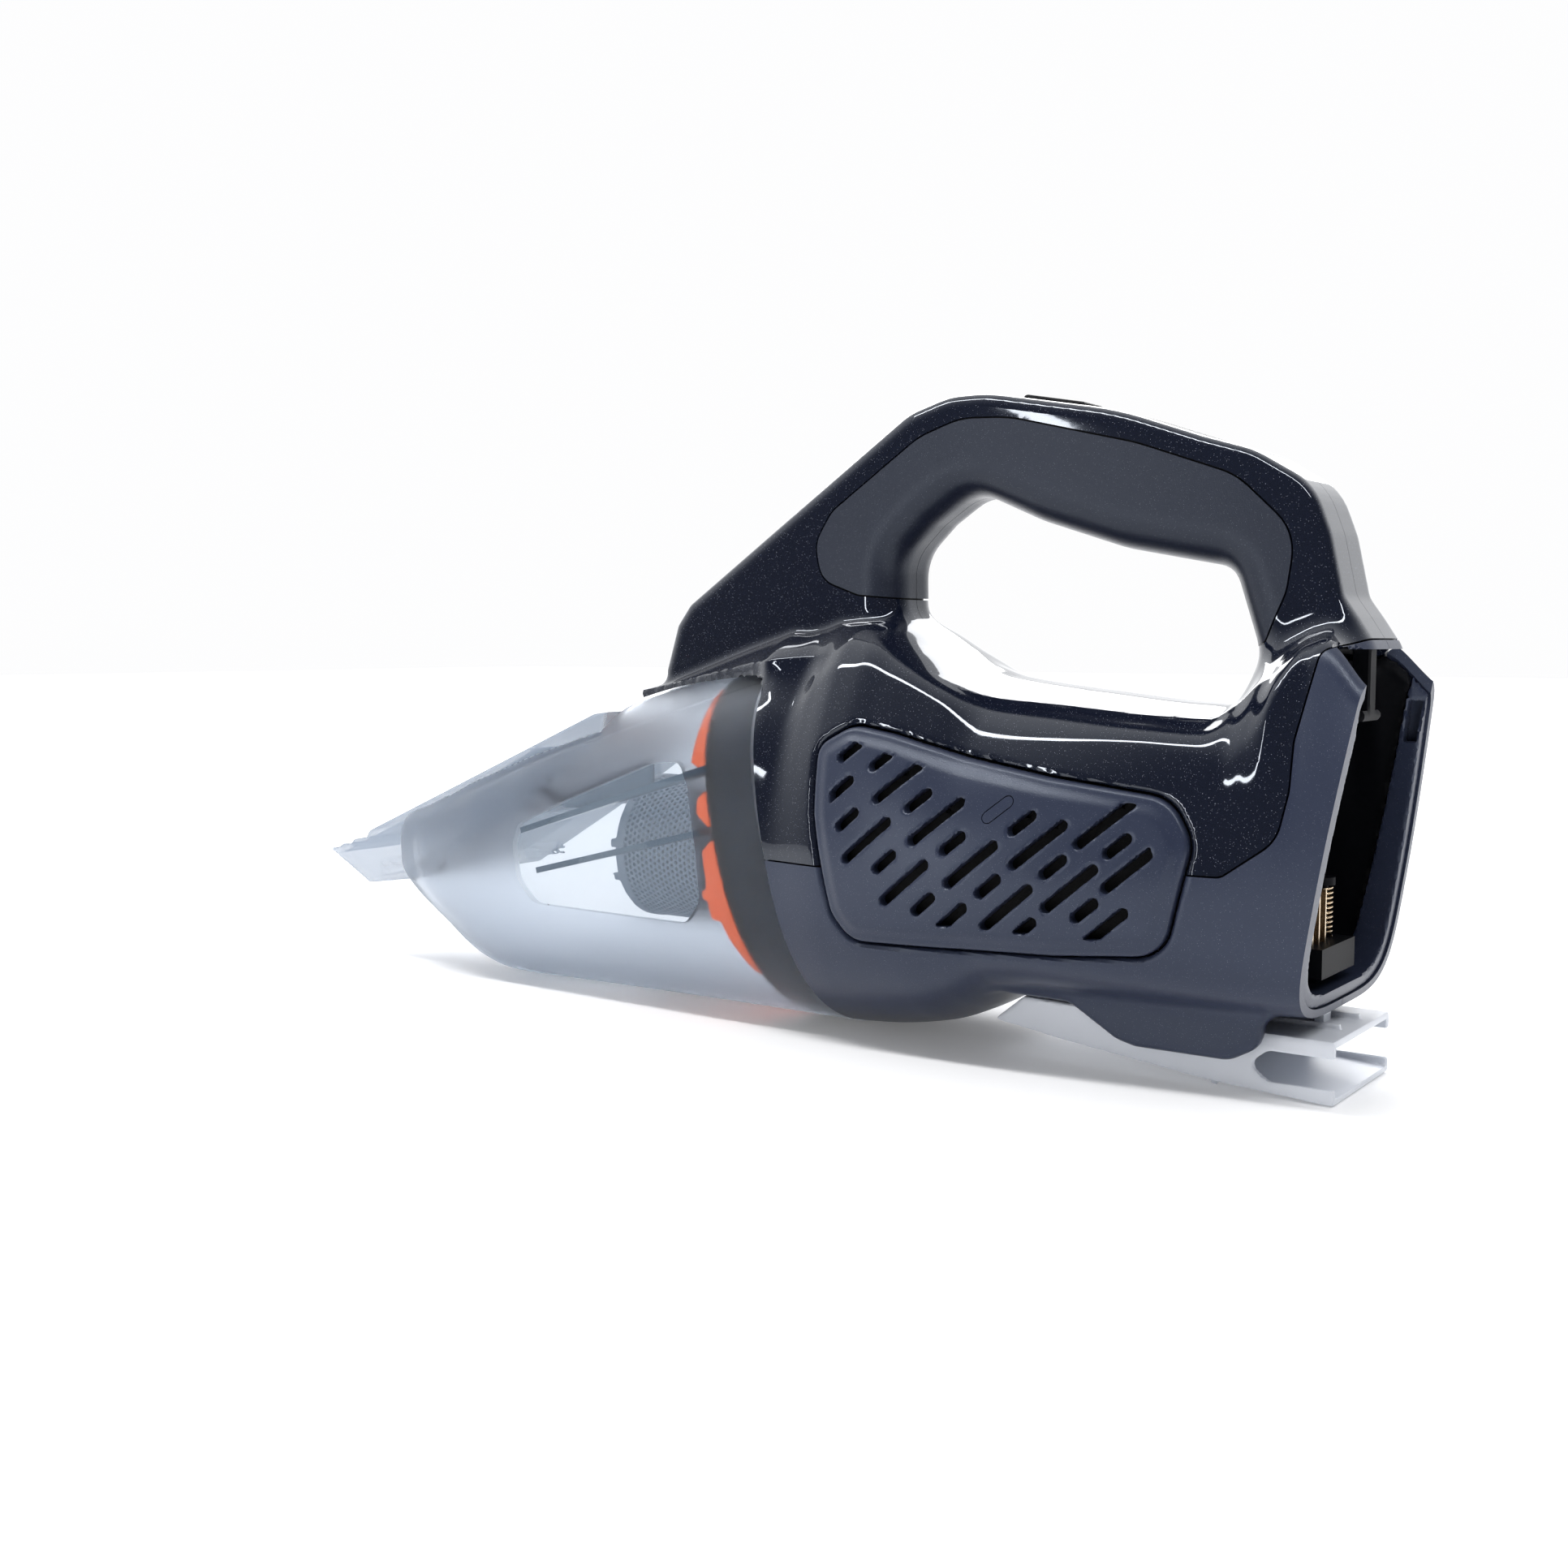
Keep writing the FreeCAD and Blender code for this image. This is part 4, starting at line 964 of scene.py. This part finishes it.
field_piece(
    "filter_frame", [lambda x, y, z: bowl_skin(x, y, z) + BOWL_WALL + 0.5, ring_field],
    (-16, -52, 0), (22, 52, 128), "filter", orange, ["filter_ring"], bevel=0.3,
)
field_piece(
    "ring_gasket",
    [lambda x, y, z: round_max(
        np.abs(bowl_skin(x, y, z) + BOWL_WALL + 2.2) - 1.6, np.abs(leaning(x, z) - 2.5) - 1.1, 0.6
    )],
    (-16, -52, 0), (22, 52, 130), "filter", rubber, ["filter_gasket"], step=1.3,
)


INLET_RADIUS, INLET_DEPTH, INLET_PLATE = 20, 22, 1.2
RAISED_LINES, LINE_HEIGHT, LINE_WIDTH = (7.5, 13), 0.35, 0.7


def spigot(x, y, z):
    """The body's collar inside the bowl's rim, with two raised seams, and the plate behind it."""
    deep = bowl_skin(x, y, z) + BOWL_WALL + 0.9
    lean = leaning(x, z)
    seams = sum(LINE_HEIGHT * np.exp(-(((lean - at) / LINE_WIDTH) ** 2)) for at in RAISED_LINES)
    wall = np.maximum(deep - seams, -(deep + 2.2))
    inlet = np.hypot(y, z - CUP_Z) - INLET_RADIUS
    level = np.abs(lean - INLET_DEPTH) - INLET_PLATE
    plate = np.maximum(np.maximum(deep, level), -inlet)
    bars = np.maximum(np.minimum(np.abs(y) - 1.1, np.abs(z - CUP_Z) - 1.1), np.maximum(inlet - 1, level))
    whole = np.minimum(np.minimum(wall, plate), bars)
    return np.maximum(whole, np.maximum(4.2 - lean, lean - 26))


field_piece(
    "body_spigot", [spigot], (-14, -52, 0), (44, 52, 132), "housing", collar, ["front_bulkhead"],
    step=1.3,
)


def perforated_cup():
    """A metal sleeve of round holes in staggered rows, with plain bands at both ends."""
    around, sides, hole_share = 72, 12, 0.33
    pitch = 2 * math.pi * CUP_RADIUS / around
    row = pitch * math.sqrt(3) / 2
    first = CUP_FRONT + 5
    rows = int((CUP_REAR - 2 - first) / row)
    hole = hole_share * pitch
    points, faces, index = [], [], {}

    def place_on(u, v):
        """The point at u round the sleeve and v along it."""
        angle = u / CUP_RADIUS
        return first + v, CUP_RADIUS * math.sin(angle), CUP_Z + CUP_RADIUS * math.cos(angle)

    def shared(u, v):
        """The number of a point that neighbouring cells share."""
        key = (round(u / pitch * 12) % (around * 12), round(v / row * 12))
        if key not in index:
            index[key] = len(points)
            points.append(place_on(u, v))
        return index[key]

    corner = pitch / math.sqrt(3)
    for j in range(rows):
        for i in range(around):
            u, v = (i + 0.5 * (j % 2)) * pitch, j * row
            rim, ring = [], []
            for k in range(sides):
                angle = math.pi * k / 6 + math.pi / 6
                reach = corner if k % 2 == 0 else pitch / 2
                rim.append(shared(u + reach * math.cos(angle), v + reach * math.sin(angle)))
                ring.append(len(points))
                points.append(place_on(u + hole * math.cos(angle), v + hole * math.sin(angle)))
            for k in range(sides):
                m = (k + 1) % sides
                faces.append((rim[k], rim[m], ring[m], ring[k]))
    mesh = mesh_from("mesh_sleeve", points, faces, 60)
    piece = link("mesh_sleeve", mesh, "filter", steel, ["mesh_prefilter"])
    thick = piece.modifiers.new("thickness", "SOLIDIFY")
    thick.thickness = 0.5 * MM
    thick.offset = 0


def tube_field(radius, inner, front, rear):
    """A short tube on the sleeve's axis."""

    def field(x, y, z):
        r = np.hypot(y, z - CUP_Z)
        return round_max(round_max(r - radius, inner - r, 0.3), np.maximum(front - x, x - rear), 0.3)

    return field


def cup_tabs(x, y, z):
    """Small tabs round the sleeve's front rim."""
    angle = np.arctan2(-y, z - CUP_Z)
    r = np.hypot(y, z - CUP_Z)
    near = np.minimum(np.abs(angle - math.radians(84)), np.abs(angle - math.radians(112)))
    near = np.minimum(near, np.abs(angle + math.radians(100)))
    along = np.maximum(CUP_FRONT - 2.2 - x, x - CUP_FRONT - 2)
    return np.maximum(np.maximum(near * r - 1.6, np.abs(r - CUP_RADIUS) - 0.8), along)


front_band = tube_field(CUP_RADIUS + 0.5, CUP_RADIUS - 0.8, CUP_FRONT, CUP_FRONT + 4.4)


def sleeve_end(x, y, z):
    """The sleeve's front band, its end disc and its tabs."""
    disc = np.maximum(np.hypot(y, z - CUP_Z) - CUP_RADIUS + 0.3, np.abs(x - CUP_FRONT - 1) - 0.7)
    return np.minimum(np.minimum(front_band(x, y, z), disc), cup_tabs(x, y, z))


perforated_cup()
field_piece(
    "sleeve_front", [sleeve_end],
    (-68, -30, 25), (-57, 30, 85), "filter", steel, [], step=1.0,
)
field_piece(
    "sleeve_rear", [tube_field(CUP_RADIUS + 0.6, CUP_RADIUS - 0.9, CUP_REAR - 4.2, CUP_REAR + 3)],
    (-4, -30, 25), (7, 30, 85), "filter", steel, [], step=1.0,
)

# ---------------------------------------------------------------- crevice tool

TOOL_SIDE = Outline([
    (97, 11, 1), (170, 2.6, 30), (209, 0.2, 1), (209, 5, 1), (189, 5, 4.4), (183.5, 9.5, 3), (189, 14, 4.4),
    (209, 14, 1), (209, 19.2, 1), (108, 20, 1),
])
TOOL_INSIDE = Outline([(90, 13.5), (170, 4.6), (214, 2.2), (214, 17.2), (98, 17.8)])
TOOL_HALF, TOOL_WALL, TOOL_EDGE = 26.0, 2, 0.9


def tool_ribs(x, y, z):
    """Two low ribs and a catch on the top plate, and the peg under the tip."""
    rib = np.maximum(np.abs(np.abs(y) - 9) - 1.0, np.maximum(np.abs(x - 186) - 19, np.abs(z - 19.5) - 1.3))
    catch = np.maximum(np.maximum(np.abs(x - 196.5) - 1.6, np.abs(y) - 3.5), np.abs(z - 20.4) - 2.4)
    peg = np.maximum(np.hypot(x - 171, np.abs(y) - 20) - 1.1, np.abs(z - 1.8) - 1.6)
    return np.minimum(np.minimum(rib, catch), peg)


def tool_taper(x):
    """How much narrower each side gets towards the tip."""
    return 2.0 * ramp(-x, -130, -97)


def tool_block(x, y, z):
    """The crevice tool's outside."""
    return round_max(TOOL_SIDE(x, y, z), np.abs(y) - TOOL_HALF + tool_taper(x), TOOL_EDGE)


def tool_space(x, y, z):
    """The duct through the crevice tool."""
    return -np.maximum(TOOL_INSIDE(x, y, z), np.abs(y) - TOOL_HALF + TOOL_WALL + tool_taper(x))


field_piece(
    "crevice_nozzle",
    [lambda x, y, z: np.minimum(smooth_max(tool_block(x, y, z), tool_space(x, y, z), 0.2), tool_ribs(x, y, z))],
    (94, -28, -1), (212, 28, 24), "tool", tool_plastic, ["crevice_tool"],
    step=mesh_step(0.9), bevel=0.25,
)

# ---------------------------------------------------------------- floor and light

FLOOR_SIZE = 12
bpy.ops.mesh.primitive_plane_add(size=FLOOR_SIZE, location=(0, 0, 0))
floor = bpy.context.object
floor.name = "floor"
pale, nodes, links, shader = material_of("floor", Roughness=0.7, Emission_Color=(1, 1, 1, 1))
add = node_maker(nodes, links)
place = add("TexCoord", {}).outputs["Object"]
cloud = add("TexNoise", {"Scale": 3, "Vector": place})
FLOOR_TONES = {"A": (0.93, 0.93, 0.935, 1), "B": (0.95, 0.95, 0.955, 1)}
tone = add("Mix", {**FLOOR_TONES, "Factor": cloud.outputs["Fac"]}, data_type="RGBA")
links.new(tone.outputs["Result"], shader.inputs["Base Color"])
# The floor glows: painted light, weakest near the object and stronger farther out, so the far floor matches the
# backdrop while the floor round the object stays darker.
away = add("VectorMath", {0: place}, operation="LENGTH")
painted_floor_glow = add("MapRange", {
    "From Min": 0.35, "From Max": 1.5, "To Min": 0.12, "To Max": 0.6, "Value": away.outputs["Value"],
})
links.new(painted_floor_glow.outputs["Result"], shader.inputs["Emission Strength"])
floor.data.materials.append(pale)

BRIGHT_SIDE = (-0.58, 0.78, 0.2)
world = bpy.data.worlds.new("studio")
bpy.context.scene.world = world
world.use_nodes = True
nodes, links = world.node_tree.nodes, world.node_tree.links
add = node_maker(nodes, links)
backdrop = nodes["Background"]
backdrop.inputs["Color"].default_value = (0.985, 0.985, 0.99, 1)
direction = add("TexCoord", {}).outputs["Generated"]
facing = add("VectorMath", {0: direction, 1: BRIGHT_SIDE}, operation="DOT_PRODUCT")
glow = add("MapRange", {
    "From Min": -0.35, "From Max": 0.5, "To Min": 0.13, "To Max": 1.3, "Value": facing.outputs["Value"],
}, interpolation_type="SMOOTHSTEP")
room = add("Background", {"Color": (0.97, 0.98, 1.0, 1), "Strength": glow.outputs["Result"]})
seen = add("LightPath", {})
mixed = add("MixShader", {
    "Fac": seen.outputs["Is Camera Ray"], 1: room.outputs["Background"], 2: backdrop.outputs["Background"],
})
links.new(mixed.outputs["Shader"], nodes["World Output"].inputs["Surface"])
bpy.context.scene.view_settings.view_transform = "Standard"


def area_light(name, at, towards, size, power):
    """A soft light at one place, turned towards another."""
    light = bpy.data.objects.new(name, bpy.data.lights.new(name, "AREA"))
    bpy.context.scene.collection.objects.link(light)
    light.data.shape = "RECTANGLE"
    light.data.size, light.data.size_y = size
    light.data.energy = power
    light.location = at
    light.rotation_euler = (Vector(towards) - Vector(at)).to_track_quat("-Z", "Y").to_euler()


area_light("crest_strip", (0.1, -0.45, 1.25), (0.08, 0, 0.1), (2.4, 0.09), 17)
area_light("side_strip", (-0.55, -1.3, 0.35), (0.05, 0, 0.1), (0.05, 0.7), 2.6)
area_light("back_softbox", (-0.5, 1.1, 0.9), (0, 0, 0.1), (1.2, 0.8), 16)
